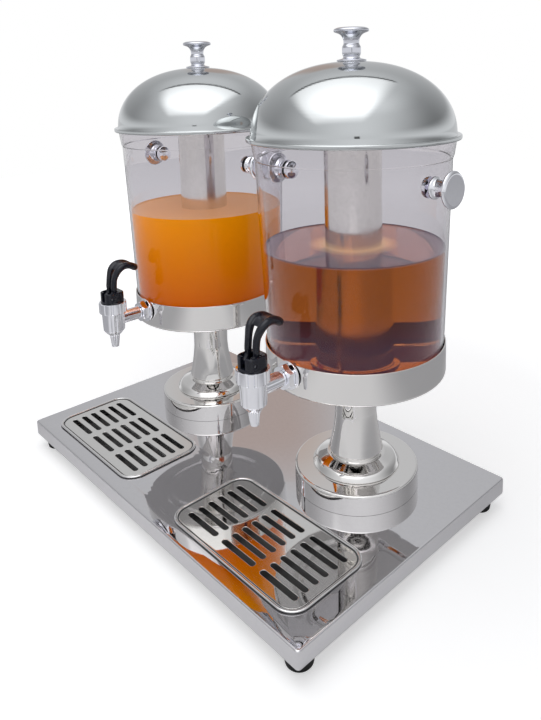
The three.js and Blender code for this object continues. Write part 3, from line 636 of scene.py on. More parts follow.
def juice():
    """An opaque orange that deepens from its surface to the floor, with fine pulp in it and a top made paler
    by a painted reflection.
    """
    material, tree, body = shader("orange_juice")
    place = own_coordinates(tree)
    deep = ramp(tree, in_parts(tree, place)["Z"], JUICE_LOW, JUICE_TOP, DEEP_HEIGHT, PALE_HEIGHT)
    # Faces that look up take the paler colour: a painted reflection of the bright wall.
    faced = mixed(tree, step(tree, facing_up(tree), 0.6, 0.8), deep, JUICE_REFLECTION)
    pulp = add(tree, "TexNoise", Scale=PULP, Detail=3)
    join(tree, place, pulp.inputs["Vector"])
    colour = mixed(tree, PULP_SHARE, faced, pulp.outputs["Fac"], blend_type="MULTIPLY")
    join(tree, colour, body.inputs["Base Color"], colour, body.inputs["Emission Color"])
    body.inputs["Emission Strength"].default_value = INNER_LIGHT
    body.inputs["Roughness"].default_value = 0.3
    body.inputs["Specular IOR Level"].default_value = 0.02
    return material


orange_juice = juice()
print("juice, top and bottom:", np.round(JUICE_TOP, 2), np.round(JUICE_LOW, 2))

# %% [markdown]
# Tea is clear, so its colour is what is left of the light that passes through it. Four things are painted
# on that: a faint glow that stands for its depth, brighter and bluer low down, a greyer and bluer painted
# reflection on its level top, a warm glow round the tube just under the level, and a dark line of painted
# shade where it creeps up the wall.

# %% Tea
TEA, TEA_SHADOW, TEA_GLARE, TEA_BEND = (0.47, 0.122, 0.010), (0.72, 0.40, 0.22), (0.5, 0.45, 0.42), 1.33
# The tea's depth colours are a painted glow, brighter and bluer low down.
DEPTH_GLOW, LOW_DEPTH_GLOW, LOW_FROM, LOW_TO = (0.010, 0.006, 0.004), (0.026, 0.016, 0.032), 0.20, 0.235
# The top's tint and glow are a painted reflection, greyer and bluer; the rim's tint is a painted shade.
TOP_REFLECTION_TINT, TOP_REFLECTION_GLOW, RIM_SHADE_TINT = (0.34, 0.15, 0.08), (0.05, 0.04, 0.06), (0.02, 0.006, 0.006)
TUBE_LIGHT, LIGHT_FROM, LIGHT_TO = (0.30, 0.21, 0.11), 0.031, 0.052
LEVEL = {"left": 293.2, "right": 285.8}


def clear_tea():
    """Glass with the tea's tint, and a faint painted glow of its own whose colour depends on the height and
    on how far the point lies from the tube's axis: the length of (x, y)."""
    material, tree, body = see_through("tea", TEA, TEA_BEND, 0.0, TEA_SHADOW)
    body.inputs["Specular Tint"].default_value = (*TEA_GLARE, 1)
    parts = in_parts(tree, own_coordinates(tree, axis_of("right")))
    flat, reach = add(tree, "CombineXYZ"), add(tree, "VectorMath", operation="LENGTH")
    join(tree, parts["X"], flat.inputs["X"], parts["Y"], flat.inputs["Y"],
         flat.outputs["Vector"], reach.inputs[0])
    level_top = LEVEL["right"] * MM
    height = parts["Z"]
    near_top = step(tree, height, level_top - 0.002, level_top - 0.0005)
    on_top = step(tree, height, level_top - 0.001, level_top - 0.0004)
    # A dark line of painted shade where the tea creeps up the wall.
    on_rim = step(tree, height, level_top + 0.0002, level_top + 0.0008)
    # A painted warm glow round the tube, just under the level.
    near_tube = ramp(tree, reach.outputs["Value"], 1.0, 0.0, LIGHT_FROM, LIGHT_TO)
    by_tube = worked(tree, "MULTIPLY", near_top, near_tube)
    # The emission is a painted glow in the depth and a painted reflection on the top.
    cloud = mixed(tree, on_top, ramp(tree, height, LOW_DEPTH_GLOW, DEPTH_GLOW, LOW_FROM, LOW_TO), TOP_REFLECTION_GLOW)
    # The level top's tint is a painted reflection.
    tint = mixed(tree, on_top, TEA, TOP_REFLECTION_TINT)
    join(tree, mixed(tree, by_tube, cloud, TUBE_LIGHT), body.inputs["Emission Color"],
         mixed(tree, on_rim, tint, RIM_SHADE_TINT), body.inputs["Base Color"])
    body.inputs["Emission Strength"].default_value = 1
    return material


tea = clear_tea()
print("finishes in all:", len(bpy.data.materials))

# %% [markdown]
# ## The base
#
# The base is one sheet, folded down at its edges and turned in again underneath, with two openings for
# the trays. The flat top with its openings is filled between its outlines, the folded edge is a profile
# carried round, and both share their points where they meet. A wall of the sheet's thickness is then laid
# inside.

# %% Filling between outlines


def filled(*outlines, up=0.0):
    """Flat faces between a first outline and the holes in it, all at the height up."""
    work = bmesh.new()
    for outline in outlines:
        points = [work.verts.new((*p, up)) for p in outline.tolist()]
        for a, b in zip(points, points[1:] + points[:1]):
            work.edges.new((a, b))
    bmesh.ops.triangle_fill(work, use_beauty=True, edges=work.edges)
    work.verts.index_update()
    points = np.array([v.co[:] for v in work.verts])
    faces = [[v.index for v in face.verts] for face in work.faces]
    work.free()
    return points, faces


print("a filled square has", len(filled(np.array([[0, 0], [1, 0], [1, 1], [0, 1]]))[1]), "triangles")

# %% [markdown]
# The base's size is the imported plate's, and the openings are the trays' outlines with a little room to
# slide. The sheet is drawn as its outer skin, and the thickness is added inwards.

# %% Base plate
base_low, base_high = corners_of("base_plate")
BASE, SKIRT = (base_high - base_low)[:2], base_high[2] - base_low[2]
BASE_CORNER, BASE_EDGE, SHEET, FLANGE = 4.0, 2.4, 1.2, 34.0
TRAY_RIM, TRAY_SHEET, SLIDE, TRAY_CORNER = 4.6, 1.0, 0.5, 22.0
tray_low, tray_high = corners_of("right_drip_tray")
TRAY_SIZE = (tray_high - tray_low)[:2]
BODY_INSET = TRAY_RIM - TRAY_SHEET

folded = eased([(BASE_EDGE * 2, 0), (0, 0, BASE_EDGE), (0, -SKIRT, BASE_EDGE), (FLANGE, -SKIRT)], 6)
skirt = pressed(*BASE, BASE_CORNER, folded)
opening = rounded_plan(*TRAY_SIZE, TRAY_CORNER, BODY_INSET - SLIDE)
top = filled(skirt[0, :, :2], *[opening + TRAY[side][:2] for side in SIDES])
made("base_sheet", placed(together(top, sheet(skirt)), (0, 0, PLATE_TOP)), "stand", plate_steel, "base_plate",
     facing=(0, 0, 1), wall=SHEET, sharp=50)
print("base", BASE.round(1), "skirt", round(float(SKIRT), 1))

# %% [markdown]
# The base stands on four plain rubber feet, a little wider at the top than at the floor. Each is a short
# turning.

# %% Rubber feet
FOOT_HEIGHT, FOOT_TOP, FOOT_BOTTOM = 17.3, 15.0, 13.0
foot_part = spun([(0, 0), (FOOT_BOTTOM, 0, 2.5), (FOOT_TOP, FOOT_HEIGHT - 2, 1.5),
                  (FOOT_TOP - 1, FOOT_HEIGHT), (0, FOOT_HEIGHT)], 48)
for end in ("front", "back"):
    for side in SIDES:
        node = f"{end}_{side}_foot"
        made(f"{node}_pad", placed(foot_part, (*middle_of(node)[:2], 0)), "stand", black_rubber, node)
print("feet", FOOT_HEIGHT, "mm high")

# %% [markdown]
# ## Two of everything
#
# From here on nearly every piece exists twice, once on each side. One function places a part on both axes
# and names both pieces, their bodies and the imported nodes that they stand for.

# %% Both sides


def raised(axes, height):
    """The same two axes, counted from a greater height."""
    return {side: at + (0, 0, height) for side, at in axes.items()}


def both_sides(name, part, axes, body, finish, *nodes, aim="up", **shape):
    """The part once on each side, at axes[side]. The stand carries both, any other body is the side's own.
    The finish may be one for both or one for each side."""
    for side in SIDES:
        carrier = body if body == "stand" else f"{side}_{body}"
        own_finish = finish[side] if isinstance(finish, dict) else finish
        stands_for = [f"{side}_{node}" for node in nodes]
        made(f"{side}_{name}", placed(part, axes[side], aim), carrier, own_finish, stands_for, **shape)


print("the units stand", round(float(UNIT["right"][0] - UNIT["left"][0]), 1), "mm apart")

# %% [markdown]
# ## Drip trays and grilles
#
# A tray is pressed from thin sheet: a flat rim that rests on the plate, a step that holds the grille, and
# a bowl. Its outline is one closed line that runs down the outside and up the inside.

# %% Drip trays
BOWL_INSET, INNER_INSET, RIM_INSET = BODY_INSET + 3, BODY_INSET + 4, TRAY_RIM - 1.0
tray_outline = eased([
    (BOWL_INSET + 1.5, -14), (BOWL_INSET, -14, 1.2), (BOWL_INSET, -1.4, 0.6), (BODY_INSET, -1.4, 0.8),
    (BODY_INSET, 0.2, 0.3), (0.6, 0.2, 0.3), (0, 1.4, 0.5), (0.8, 2.3, 0.7), (TRAY_RIM - 1.8, 2.3, 0.8),
    (RIM_INSET, 1.4, 0.6), (RIM_INSET, -0.4, 0.3), (INNER_INSET, -0.4, 0.8), (INNER_INSET, -13, 2),
    (BOWL_INSET + 4, -13)], 4)
tray_part = capped(pressed(*TRAY_SIZE, TRAY_CORNER, tray_outline, 12))
both_sides("tray_pressing", tray_part, TRAY, "tray", tray_steel, "drip_tray")
print("tray", TRAY_SIZE.round(1))

# %% [markdown]
# The grille is a thin plate with rows of long slots. Their edges are turned down a little, so that they
# catch the light. One slot's turned edge is copied to every place, and the plate is filled between all
# the outlines.

# %% Grilles
grille_low, grille_high = corners_of("right_grille")
GRILLE = (grille_high - grille_low)[:2]
GRILLE_INSET = (TRAY_SIZE - GRILLE)[0] / 2
SLOT_ROWS, SLOT_COLUMNS, SLOT, SIDE_GAP, ROW_GAP = 6, 3, (50.5, 6.6), 10.1, 6.8
GRILLE_TOP, GRILLE_SHEET, TURNED_DOWN = 0.8, 0.8, 1.0
across = (np.arange(SLOT_COLUMNS) - (SLOT_COLUMNS - 1) / 2) * (SLOT[0] + SIDE_GAP)
deep = (np.arange(SLOT_ROWS) - (SLOT_ROWS - 1) / 2) * (SLOT[1] + ROW_GAP)
slot_places = np.stack(np.meshgrid(across, deep), -1).reshape(-1, 2)
slot_edge = eased([(-0.9, GRILLE_TOP), (0, GRILLE_TOP, 0.8), (0, GRILLE_TOP - TURNED_DOWN)], 5)
slot_ring = pressed(*SLOT, SLOT[1] / 2, slot_edge, 7)
outer_edge = eased([(GRILLE_INSET + 1, GRILLE_TOP), (GRILLE_INSET, GRILLE_TOP, 0.7),
                    (GRILLE_INSET, GRILLE_TOP - 0.7)], 4)
rim_ring = pressed(*TRAY_SIZE, TRAY_CORNER, outer_edge, 12)
holes = [slot_ring[0, :, :2] + p for p in slot_places]
grille_part = together(filled(rim_ring[0, :, :2], *holes, up=GRILLE_TOP), sheet(rim_ring),
                       *[sheet(slot_ring + (*p, 0)) for p in slot_places])
both_sides("slotted_plate", grille_part, TRAY, "grid", grille_steel, "grille",
           facing=(0, 0, 1), wall=GRILLE_SHEET, sharp=60)
print("grille", GRILLE.round(1), "slots", len(holes))

# %% [markdown]
# ## Stands
#
# Each stand is spun on a lathe in three pieces: a flat drum, a bell that runs up into the column, and the
# pan. Their profiles are the whole shape. The drum is a shallow upturned dish, so its profile has an
# inside as well.

# %% Drum
drum_low, drum_high = corners_of("right_drum")
DRUM_RADIUS, DRUM_TOP, DRUM_SHEET = (drum_high - drum_low)[0] / 2, 23.0, 1.6
drum_inside, drum_under = DRUM_RADIUS - DRUM_SHEET, DRUM_TOP - DRUM_SHEET
drum_outline = [(0, drum_under), (drum_inside, drum_under, 2), (drum_inside, 0.2), (DRUM_RADIUS, 0.2),
                (DRUM_RADIUS, DRUM_TOP, 3.2), (0, DRUM_TOP)]
both_sides("drum_spinning", spun(drum_outline, steps=8), UNIT, "stand", stand_steel, "drum")
print("drum", round(float(2 * DRUM_RADIUS), 1), "mm across")

# %% [markdown]
# The column's foot is a bell with a groove above it. From the groove the metal sweeps up into the
# straight column. That sweep is a formula, because a few corners would show as bands in the mirrored
# light.

# %% Bell and column
COLUMN_RADIUS, COLUMN_TOP, FLARE_FOOT, FLARE_HEIGHT, FLARE_SPREAD = 24.4, 143.1, 41.2, 46.0, 7.1


def flare():
    """across = radius + spread (1 - sin t)^1.5 and up = foot + height sin t, for t from 0 to a right
    angle."""
    risen = np.sin(np.linspace(0, np.pi / 2, 24))
    return np.stack([COLUMN_RADIUS + FLARE_SPREAD * (1 - risen) ** 1.5, FLARE_FOOT + FLARE_HEIGHT * risen], 1)


bell = eased([(48.9, 23.2), (50.2, 23.2), (50.9, 24.4, 0.8), (46.5, 30.4, 4), (33.6, 35.6, 1),
              (29.2, 36.2, 0.5), (29.2, 39.2, 0.7), (31.5, 41.2)], 6)
hollow = eased([(22.9, COLUMN_TOP), (22.9, 33), (31.5, 33, 1), (43.5, 27.8, 1), (48.9, 25, 0.5)], 4)
column_outline = np.vstack([bell, flare()[1:], [[COLUMN_RADIUS, COLUMN_TOP]], hollow])
both_sides("column_spinning", sheet(turned(column_outline), True), UNIT, "stand", stand_steel, "column")
print("column profile:", len(column_outline), "points")

# %% [markdown]
# The pan is a polished dish with a low bead in its floor. Its rim drops to a notch in front, where the
# tap's bush passes. So the wall's height depends on the angle too, and some columns of the grid stand
# close together there.

# %% Pan
PAN_RADIUS, PAN_BOTTOM, PAN_RIM, PAN_SHEET = 102.6, 141.8, 177.2, 1.4
NOTCH_FOOT, NOTCH_HALF, WALL_ONLY, JUST_OUTSIDE = 164.5, 9.2, 150, 1.0005
pan_outline = eased([
    (0, 143.3), (67, 143.3, 1.5), (70, 144.4, 1.5), (74, 144.4, 1.5), (79, PAN_BOTTOM, 2.2),
    (PAN_RADIUS, PAN_BOTTOM, 3.5), (PAN_RADIUS, PAN_RIM, 0.6), (PAN_RADIUS - PAN_SHEET, PAN_RIM, 0.6),
    (PAN_RADIUS - PAN_SHEET, 143.2, 2.5), (80, 143.2, 1.5), (76, 145.6, 1.5), (69, 145.6, 1.5),
    (65, 144.5, 1.5), (0, 144.5)], 7)


def notched(outline, around=160):
    """The outline carried round Z. Where |x| < the notch's half width in front, no point of the wall is
    higher than the half circle z = foot - sqrt(half^2 - x^2)."""
    front, half_angle = -np.pi / 2, np.arcsin(NOTCH_HALF / PAN_RADIUS)
    inside_notch = front + half_angle * np.sin(np.linspace(-np.pi / 2, np.pi / 2, 17))
    edge = half_angle * JUST_OUTSIDE
    rest = np.linspace(front + edge, front + 2 * np.pi - edge, around)
    a = np.r_[inside_notch, rest]
    across, rise = outline[:, :1], outline[:, 1:]
    x, y = across * np.cos(a), across * np.sin(a)
    foot = NOTCH_FOOT - np.sqrt(np.maximum(NOTCH_HALF ** 2 - x ** 2, 0))
    cut_here = (np.arange(len(a)) < len(inside_notch)) & (rise > WALL_ONLY)
    return np.stack([x, y, np.where(cut_here, np.minimum(rise, foot), rise)], -1)


both_sides("pan_spinning", sheet(notched(pan_outline)), UNIT, "stand", stand_steel, "pan", "column_bolt")
print("pan", 2 * PAN_RADIUS, "mm across")

# %% [markdown]
# ## Containers
#
# The container is blown or moulded in one piece: a wall that leans out a little, a lip that flares, a
# thick foot, and a low ring on the floor that keeps the ice tube in its place. It needs its real wall,
# because the wall bends what is seen through it.

# %% Container
FOOT_Z, LIP_Z, LIP_TOP, FLOOR_Z, RING_TOP = 143.2, 384.0, 407.0, 151.3, 156.3
FOOT_RADIUS, NECK_RADIUS, LIP_RADIUS, WALL, RING_IN, RING_OUT = 99.2, 108.0, 112.6, 3.0, 33.0, 36.6


def wall_radius(height):
    """The outer wall leans out evenly from the foot to the lip."""
    return FOOT_RADIUS + (NECK_RADIUS - FOOT_RADIUS) * (height - FOOT_Z) / (LIP_Z - FOOT_Z)


container_outline = [
    (0, 148.3), (87.2, 148.3, 1), (87.2, FOOT_Z, 0.8), (FOOT_RADIUS, FOOT_Z, 1.2), (NECK_RADIUS, LIP_Z, 1.5),
    (NECK_RADIUS + 0.9, LIP_Z + 0.9, 1.5), (LIP_RADIUS, LIP_TOP, 1.2), (LIP_RADIUS - WALL, LIP_TOP, 1.2),
    (NECK_RADIUS - WALL + 0.9, LIP_Z + 0.9, 1.5), (NECK_RADIUS - WALL, LIP_Z, 1.5),
    (wall_radius(FLOOR_Z) - WALL, FLOOR_Z, 5), (RING_OUT, FLOOR_Z, 0.8), (RING_OUT, RING_TOP, 0.8),
    (RING_IN, RING_TOP, 0.8), (RING_IN, FLOOR_Z, 0.8), (0, FLOOR_Z)]
both_sides("clear_container", spun(container_outline, 144, steps=6), UNIT, "tank", clear_plastic, "container")
print("inside at the floor", round(2 * (wall_radius(FLOOR_Z) - WALL), 1), "mm across")

# %% [markdown]
# A drink fills its container up to a level and creeps a little up the wall. Its body is the inner outline
# drawn in by a hair, so that the two surfaces never lie in one place. It rides with the container.

# %% Drinks
GAP, CREEP, CREEP_EDGE, CREEP_WIDTH = 0.2, 1.4, 0.5, 3
POCKET_IN, POCKET_OUT, POCKET_TOP = 32.6, 37.0, 156.6


def drink_outline(level_top):
    """The inner wall's outline drawn in by GAP, up to the level, with a rim that creeps up the wall."""
    floor_z, radius = FLOOR_Z + GAP, wall_radius(level_top) - WALL - GAP
    return [(0, floor_z), (POCKET_IN, floor_z), (POCKET_IN, POCKET_TOP), (POCKET_OUT, POCKET_TOP),
            (POCKET_OUT, floor_z), (wall_radius(FLOOR_Z) - WALL - GAP, floor_z, 5),
            (radius, level_top + CREEP), (radius - CREEP_EDGE, level_top + CREEP - 0.3),
            (radius - CREEP_WIDTH, level_top, 1.5), (0, level_top)]


for side, finish in (("left", orange_juice), ("right", tea)):
    drink = spun(drink_outline(LEVEL[side]), 144, steps=6)
    made(f"{side}_drink", placed(drink, UNIT[side]), f"{side}_tank", finish)
print("levels", LEVEL)

# %% [markdown]
# The ice tube is a closed steel cylinder with a bead round its top. Filled with ice it cools the drink
# and doesn't water it down. It is a plain turning, brushed duller than the rest.

# %% Ice tubes
TUBE_RADIUS, TUBE_FOOT, TUBE_TOP, TUBE_BEAD, TUBE_SHEET = 32.1, 151.5, 404.0, 1.2, 1.0
tube_outline = [
    (0, TUBE_FOOT), (TUBE_RADIUS, TUBE_FOOT, 4), (TUBE_RADIUS, TUBE_TOP - 2.6, 0.8),
    (TUBE_RADIUS + TUBE_BEAD, TUBE_TOP - 1.4, 0.8), (TUBE_RADIUS + 0.4, TUBE_TOP, 0.6),
    (TUBE_RADIUS - TUBE_SHEET, TUBE_TOP, 0.4), (TUBE_RADIUS - TUBE_SHEET, TUBE_FOOT + TUBE_SHEET, 3.5),
    (0, TUBE_FOOT + TUBE_SHEET)]
both_sides("ice_cylinder", spun(tube_outline, 96, steps=6), UNIT, "tube", tube_steel, "ice_tube")
print("ice tube", round(TUBE_TOP - TUBE_FOOT, 1), "mm long")

# %% [markdown]
# ## Lids
#
# The dome is close to an ellipse in profile, a little squarer, with a bead rolled round its edge. The
# bead's corners are eased, the dome itself is a formula, and an inner dome a sheet's thickness lower
# closes the skin.

# %% Dome
DOME_RADIUS, DOME_HEIGHT, DOME_BASE, DOME_SHEET = 112.0, 79.0, 408.4, 1
LID_SEAT, RIM_RADIUS, BEAD, BEAD_WIDTH = 407.2, 117.2, 4.8, 3.6


def dome_curve(radius, height):
    """across = radius (1 - s^2.1)^(1/2.2) and up = height s, for s from 0 at the rim to nearly 1 at the
    top."""
    s = np.sin(np.linspace(0, np.pi / 2, 40))[:-1]
    return np.stack([(1 - s ** 2.1) ** (1 / 2.2), s], 1) * (radius, height) + (0, DOME_BASE)


bead_inner = RIM_RADIUS - BEAD_WIDTH
rim = eased([(DOME_RADIUS - DOME_SHEET, LID_SEAT), (bead_inner, LID_SEAT),
             (bead_inner, DOME_BASE - BEAD, 1.6), (RIM_RADIUS, DOME_BASE - BEAD, 1.7),
             (RIM_RADIUS, DOME_BASE, 1.5), (DOME_RADIUS + 1, DOME_BASE)], 6)
crowns = [[0, DOME_BASE + DOME_HEIGHT], [0, DOME_BASE + DOME_HEIGHT - DOME_SHEET]]
dome_outline = np.vstack([rim, dome_curve(DOME_RADIUS, DOME_HEIGHT)[1:], crowns,
                          dome_curve(DOME_RADIUS - DOME_SHEET, DOME_HEIGHT - DOME_SHEET)[::-1]])
both_sides("dome", sheet(turned(dome_outline, 144), True), UNIT, "cover", dome_steel, "lid")
print("lid top at", round(PLATE_TOP + DOME_BASE + DOME_HEIGHT, 1), "mm")

# %% [markdown]
# The lid's knob is a small turning: a flared foot, a bulge, a waist and a disc. Its profile was read as
# shares of its width and height, so the list stays true when the knob's size changes. A cap nut holds it
# from inside.

# %% Lid knobs
KNOB_RADIUS, KNOB_SEAT, KNOB_HEIGHT, NUT_SEAT = 19.2, 487.6, 35.0, 485.7
STUD_RADIUS, STUD_LENGTH = 3, 8.8
LID_KNOB = [(0.84, -0.014, .028), (0.84, 0.03, .042), (0.50, 0.075, .084), (0.46, 0.12, .042),
            (0.53, 0.21, .112), (0.53, 0.42, .14), (0.44, 0.50, .07), (0.45, 0.66, .14), (0.62, 0.80, .14),
            (1, 0.875, .07), (0.99, 0.95, .07), (0.80, 1, .14), (0, 1)]


def knob(shares, height):
    """A stud and the knob on it. Each corner is a share of the radius, of the height, and its ease of the
    radius."""
    corners = np.array([(*share, 0)[:3] for share in shares]) * (KNOB_RADIUS, height, KNOB_RADIUS)
    stud = [(0, -STUD_LENGTH), (STUD_RADIUS, -STUD_LENGTH), (STUD_RADIUS, 0)]
    return spun([*stud, *corners.tolist()], 72, steps=7)


def cap_nut(radius, height=9.0, hole=3.35):
    """A domed nut: across = radius cos t, up = brim + (height - brim) sin t over a straight brim, with a
    blind hole."""
    t = np.linspace(0, np.pi / 2, 10)
    brim, hole_top = height / 4, height - 1.5
    crown = np.stack([radius * np.cos(t), brim + (height - brim) * np.sin(t)], 1)
    outline = np.vstack([[[hole, 0], [radius, 0]], crown, [[0, hole_top], [hole, hole_top]]])
    return sheet(turned(outline, 48), True)


both_sides("lid_grip", knob(LID_KNOB, KNOB_HEIGHT), raised(UNIT, KNOB_SEAT), "cover", knob_chrome, "lid_knob",
           sharp=50)
both_sides("lid_cap_nut", cap_nut(8), raised(UNIT, NUT_SEAT), "cover", chrome, "lid_nut", aim="down")
print("lid knob", 2 * KNOB_RADIUS, "mm across")

# %% [markdown]
# Two more knobs on each container are its handles. They point left and right, so each takes its seat from
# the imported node, and a wider cap nut inside the wall holds it.

# %% Side knobs
SIDE_KNOB_RISE, SIDE_LENGTH, SIDE_NUT_RADIUS = 360.5, 24.0, 11.2
SIDE_KNOB = [(0.61, 0, .042), (0.61, 0.08, .084), (0.46, 0.18, .112), (0.44, 0.5, .21), (0.62, 0.74, .14),
             (0.97, 0.82, .07), (1, 0.9, .07), (0.88, 1, .098), (0, 1)]
OPPOSITE = {"right": "left", "left": "right"}
side_part, side_nut = knob(SIDE_KNOB, SIDE_LENGTH), cap_nut(SIDE_NUT_RADIUS)
for side in SIDES:
    for end in ("inner", "outer"):
        aim = "right" if (side == "right") == (end == "outer") else "left"
        low, high = corners_of(f"{side}_{end}_grip_knob")
        nut_low, nut_high = corners_of(f"{side}_{end}_grip_nut")
        seat = (high[0] - SIDE_LENGTH) if aim == "right" else (low[0] + SIDE_LENGTH)
        nut_x = nut_high[0] if aim == "right" else nut_low[0]
        y, z = UNIT[side][1], PLATE_TOP + SIDE_KNOB_RISE
        made(f"{side}_{end}_side_knob", placed(side_part, (seat, y, z), aim), f"{side}_tank", chrome,
             f"{side}_{end}_grip_knob", sharp=50)
        made(f"{side}_{end}_cap_nut", placed(side_nut, (nut_x, y, z), OPPOSITE[aim]), f"{side}_tank", chrome,
             f"{side}_{end}_grip_nut")
print("side knobs", SIDE_LENGTH, "mm long")

# %% [markdown]
# ## Taps
#
# The tap is cast and plated: a body with a nozzle, and a shank that passes through the wall between a
# washer and a gasket. The body's flutes are a radius that changes with the angle.

# %% Tap body
TAP_RISE, FLUTES, FLUTE_DEPTH, FLUTE_LOW, FLUTE_HIGH = 164.497, 12, 0.8, 129.5, 174
SHANK_RADIUS, THREAD_RADIUS, SHANK_BORE, SHANK_STEP = 8.6, 6.8, 4.2, 37.3
shank_end = corners_of("right_tap_body")[1][1] - TAP["right"][1]


def fluted(outline, around, count, depth, low, high):
    """The outline carried round Z, with its radius less by depth (1 - |cos(count a / 2)|) between low and
    high."""
    a = angles(around)
    across, rise = outline[:, :1], outline[:, 1:]
    strength = np.clip((rise - low) / 1.5, 0, 1) * np.clip((high - rise) / 1.5, 0, 1)
    across = across - depth * strength * (1 - np.abs(np.cos(count * a / 2)))
    return carried(across, rise, a)


casting = eased([
    (0, 128.6), (4.6, 128.6, 0.6), (6.4, 143.5, 1.5), (13.6, 151, 2.2), (14.5, 174.797, 0.8),
    (15.1, 175.2, 0.3), (15.1, 185.2, 0.3), (0, 185.2)], 7)
casting = np.vstack([casting[:1], smoothed(casting[1:-1], 3), casting[-1:]])
shank = eased([(0, 6), (SHANK_RADIUS, 6), (SHANK_RADIUS, SHANK_STEP, 0.8), (THREAD_RADIUS, SHANK_STEP + 0.1),
               (THREAD_RADIUS, shank_end, 0.8), (SHANK_BORE, shank_end, 0.4), (SHANK_BORE, 14), (0, 14)], 4)
tap_part = together(sheet(fluted(casting, 96, FLUTES, FLUTE_DEPTH, FLUTE_LOW, FLUTE_HIGH)),
                    placed(sheet(turned(shank, 64)), (0, 0, TAP_RISE), "back"))
both_sides("tap_casting", tap_part, TAP, "tank", chrome, "tap_body", sharp=40)
print("shank ends", round(float(shank_end), 2), "mm behind the tap's axis")

# %% [markdown]
# The nuts, the washer, the bush and the gasket sit on the shank one behind the other. Each takes its
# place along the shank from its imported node. A nut's corners are rounded off by a cone, as on a real nut.

# %% Nuts and washers
THREAD_HOLE = 7.15


def hexagon(flats, front, back, bore, chamfer=1.2, around=144):
    """A nut: its radius is the smaller of the hexagon's, (flats / 2) / cos(a - nearest flat's middle), and
    a cone's that starts at the chamfer, so that each corner is rounded off in a curve."""
    a = angles(around)
    flat = (flats / 2) / np.cos((a + np.pi / 6) % (np.pi / 3) - np.pi / 6)
    corner = flats / 2 / np.cos(np.pi / 6)
    depth = np.r_[0, np.linspace(0.15, chamfer * 1.6, 6)]
    cone = corner - chamfer + depth / 1.6
    radius = np.minimum(flat, np.r_[cone, cone[::-1]][:, None])
    z = np.broadcast_to(np.r_[front + depth, back - depth[::-1]][:, None], radius.shape)
    ring = np.full((1, around), float(bore))
    radius, z = np.vstack([ring, radius, ring]), np.vstack([ring * 0 + front, z, ring * 0 + back])
    return sheet(carried(radius, z, a), True)


def washer(outer, bore, front, back, ease=0.5):
    """A flat ring with eased edges."""
    return spun([(bore, front), (outer, front, ease), (outer, back, ease), (bore, back)], 96, True, 4)


def reach_of(node):
    """How far a node reaches along the shank, from the tap's axis."""
    low, high = corners_of(f"right_{node}")
    return low[1] - TAP["right"][1], high[1] - TAP["right"][1]


on_shank = raised(TAP, TAP_RISE)
for name, node, flats in (("hex_nut", "tap_nut", 24), ("inner_nut", "tap_back_nut", 20)):
    nut = hexagon(flats, *reach_of(node), THREAD_HOLE)
    both_sides(name, nut, on_shank, "tank", chrome, node, aim="back", sharp=25)
for name, node, radius, ease, finish in (("round_washer", "tap_washer", 15.6, 0.8, chrome),
                                         ("spacer_bush", "tap_bush", 8.75, 0.5, pale_silicone),
                                         ("inner_gasket", "tap_gasket", 10.6, 0.5, pale_silicone)):
    ring = washer(radius, THREAD_HOLE, *reach_of(node), ease)
    both_sides(name, ring, on_shank, "tank", finish, node, aim="back")
print("outer nut along the shank:", np.round(reach_of("tap_nut"), 1), "mm")

# %% [markdown]
# A ribbed collar screws down over the bonnet. It is gripped by hand, so narrow grooves part broad flats
# all round. The grooves are again a radius that changes with the angle, and they fade out before the
# edges.

# %% Collar
COLLAR_RADIUS, COLLAR_LOW, COLLAR_TOP = 17.4, 175.2, 189.4
RIBS, GROOVE_DEPTH, BORE_LOW, BORE_TOP = 12, 1.0, 15.5, 14.35
EDGE_ROWS = np.array([[-0.9, 0, 0.0], [-0.25, 0.25, 0.3], [0, 0.9, 1], [0, 13.0, 1], [-0.3, 13.9, 0.3],
                      [-1.2, 14.2, 0]])


def ribbed(around=288):
    """A ring nut. Each row of EDGE_ROWS adds to the radius, to the height, and has a share of the groove,
    which is full where |cos(ribs a / 2)| is over 0.94 and gone where it is under 0.80."""
    a = angles(around)
    groove = np.clip((np.abs(np.cos(RIBS * a / 2)) - 0.80) / 0.14, 0, 1)
    wall = COLLAR_RADIUS + EDGE_ROWS[:, :1] - GROOVE_DEPTH * groove * EDGE_ROWS[:, 2:]
    z = np.broadcast_to(COLLAR_LOW + EDGE_ROWS[:, 1:2], wall.shape)
    bore = np.array([(BORE_TOP + 0.5, COLLAR_TOP), (BORE_TOP, COLLAR_TOP - 0.4), (BORE_TOP, COLLAR_TOP - 1.5),
                     (BORE_LOW, COLLAR_TOP - 1.5), (BORE_LOW, COLLAR_LOW)])[:, :, None] * np.ones(around)
    radii, heights = np.vstack([wall, bore[:, 0]]), np.vstack([z, bore[:, 1]])
    return sheet(carried(radii, heights, a), True)


both_sides("ribbed_collar", ribbed(), TAP, "tank", chrome, "tap_collar", sharp=32)
print("collar", RIBS, "ribs")

# %% [markdown]
# Some shapes are easier to cut or to melt than to describe. A passing object takes the modifiers, its
# result is read back as a part, and the object is removed, so that no helper is left in the scene.

# %% Cutting and melting


def passing(part, mend):
    """An object that is needed for a moment."""
    return shown("passing", mesh_of("passing", part, mend))


def outcome(item, *helpers):
    """What the item's modifiers make of it, as a part. The item and its helpers are removed."""
    shape = item.evaluated_get(bpy.context.evaluated_depsgraph_get())
    mesh = shape.to_mesh()
    points = np.empty(3 * len(mesh.vertices), np.float32)
    mesh.vertices.foreach_get("co", points)
    faces = [list(face.vertices) for face in mesh.polygons]
    shape.to_mesh_clear()
    for each in (item, *helpers):
        old = each.data
        bpy.data.objects.remove(each)
        bpy.data.meshes.remove(old)
    return points.reshape(-1, 3).astype(float) / MM, faces


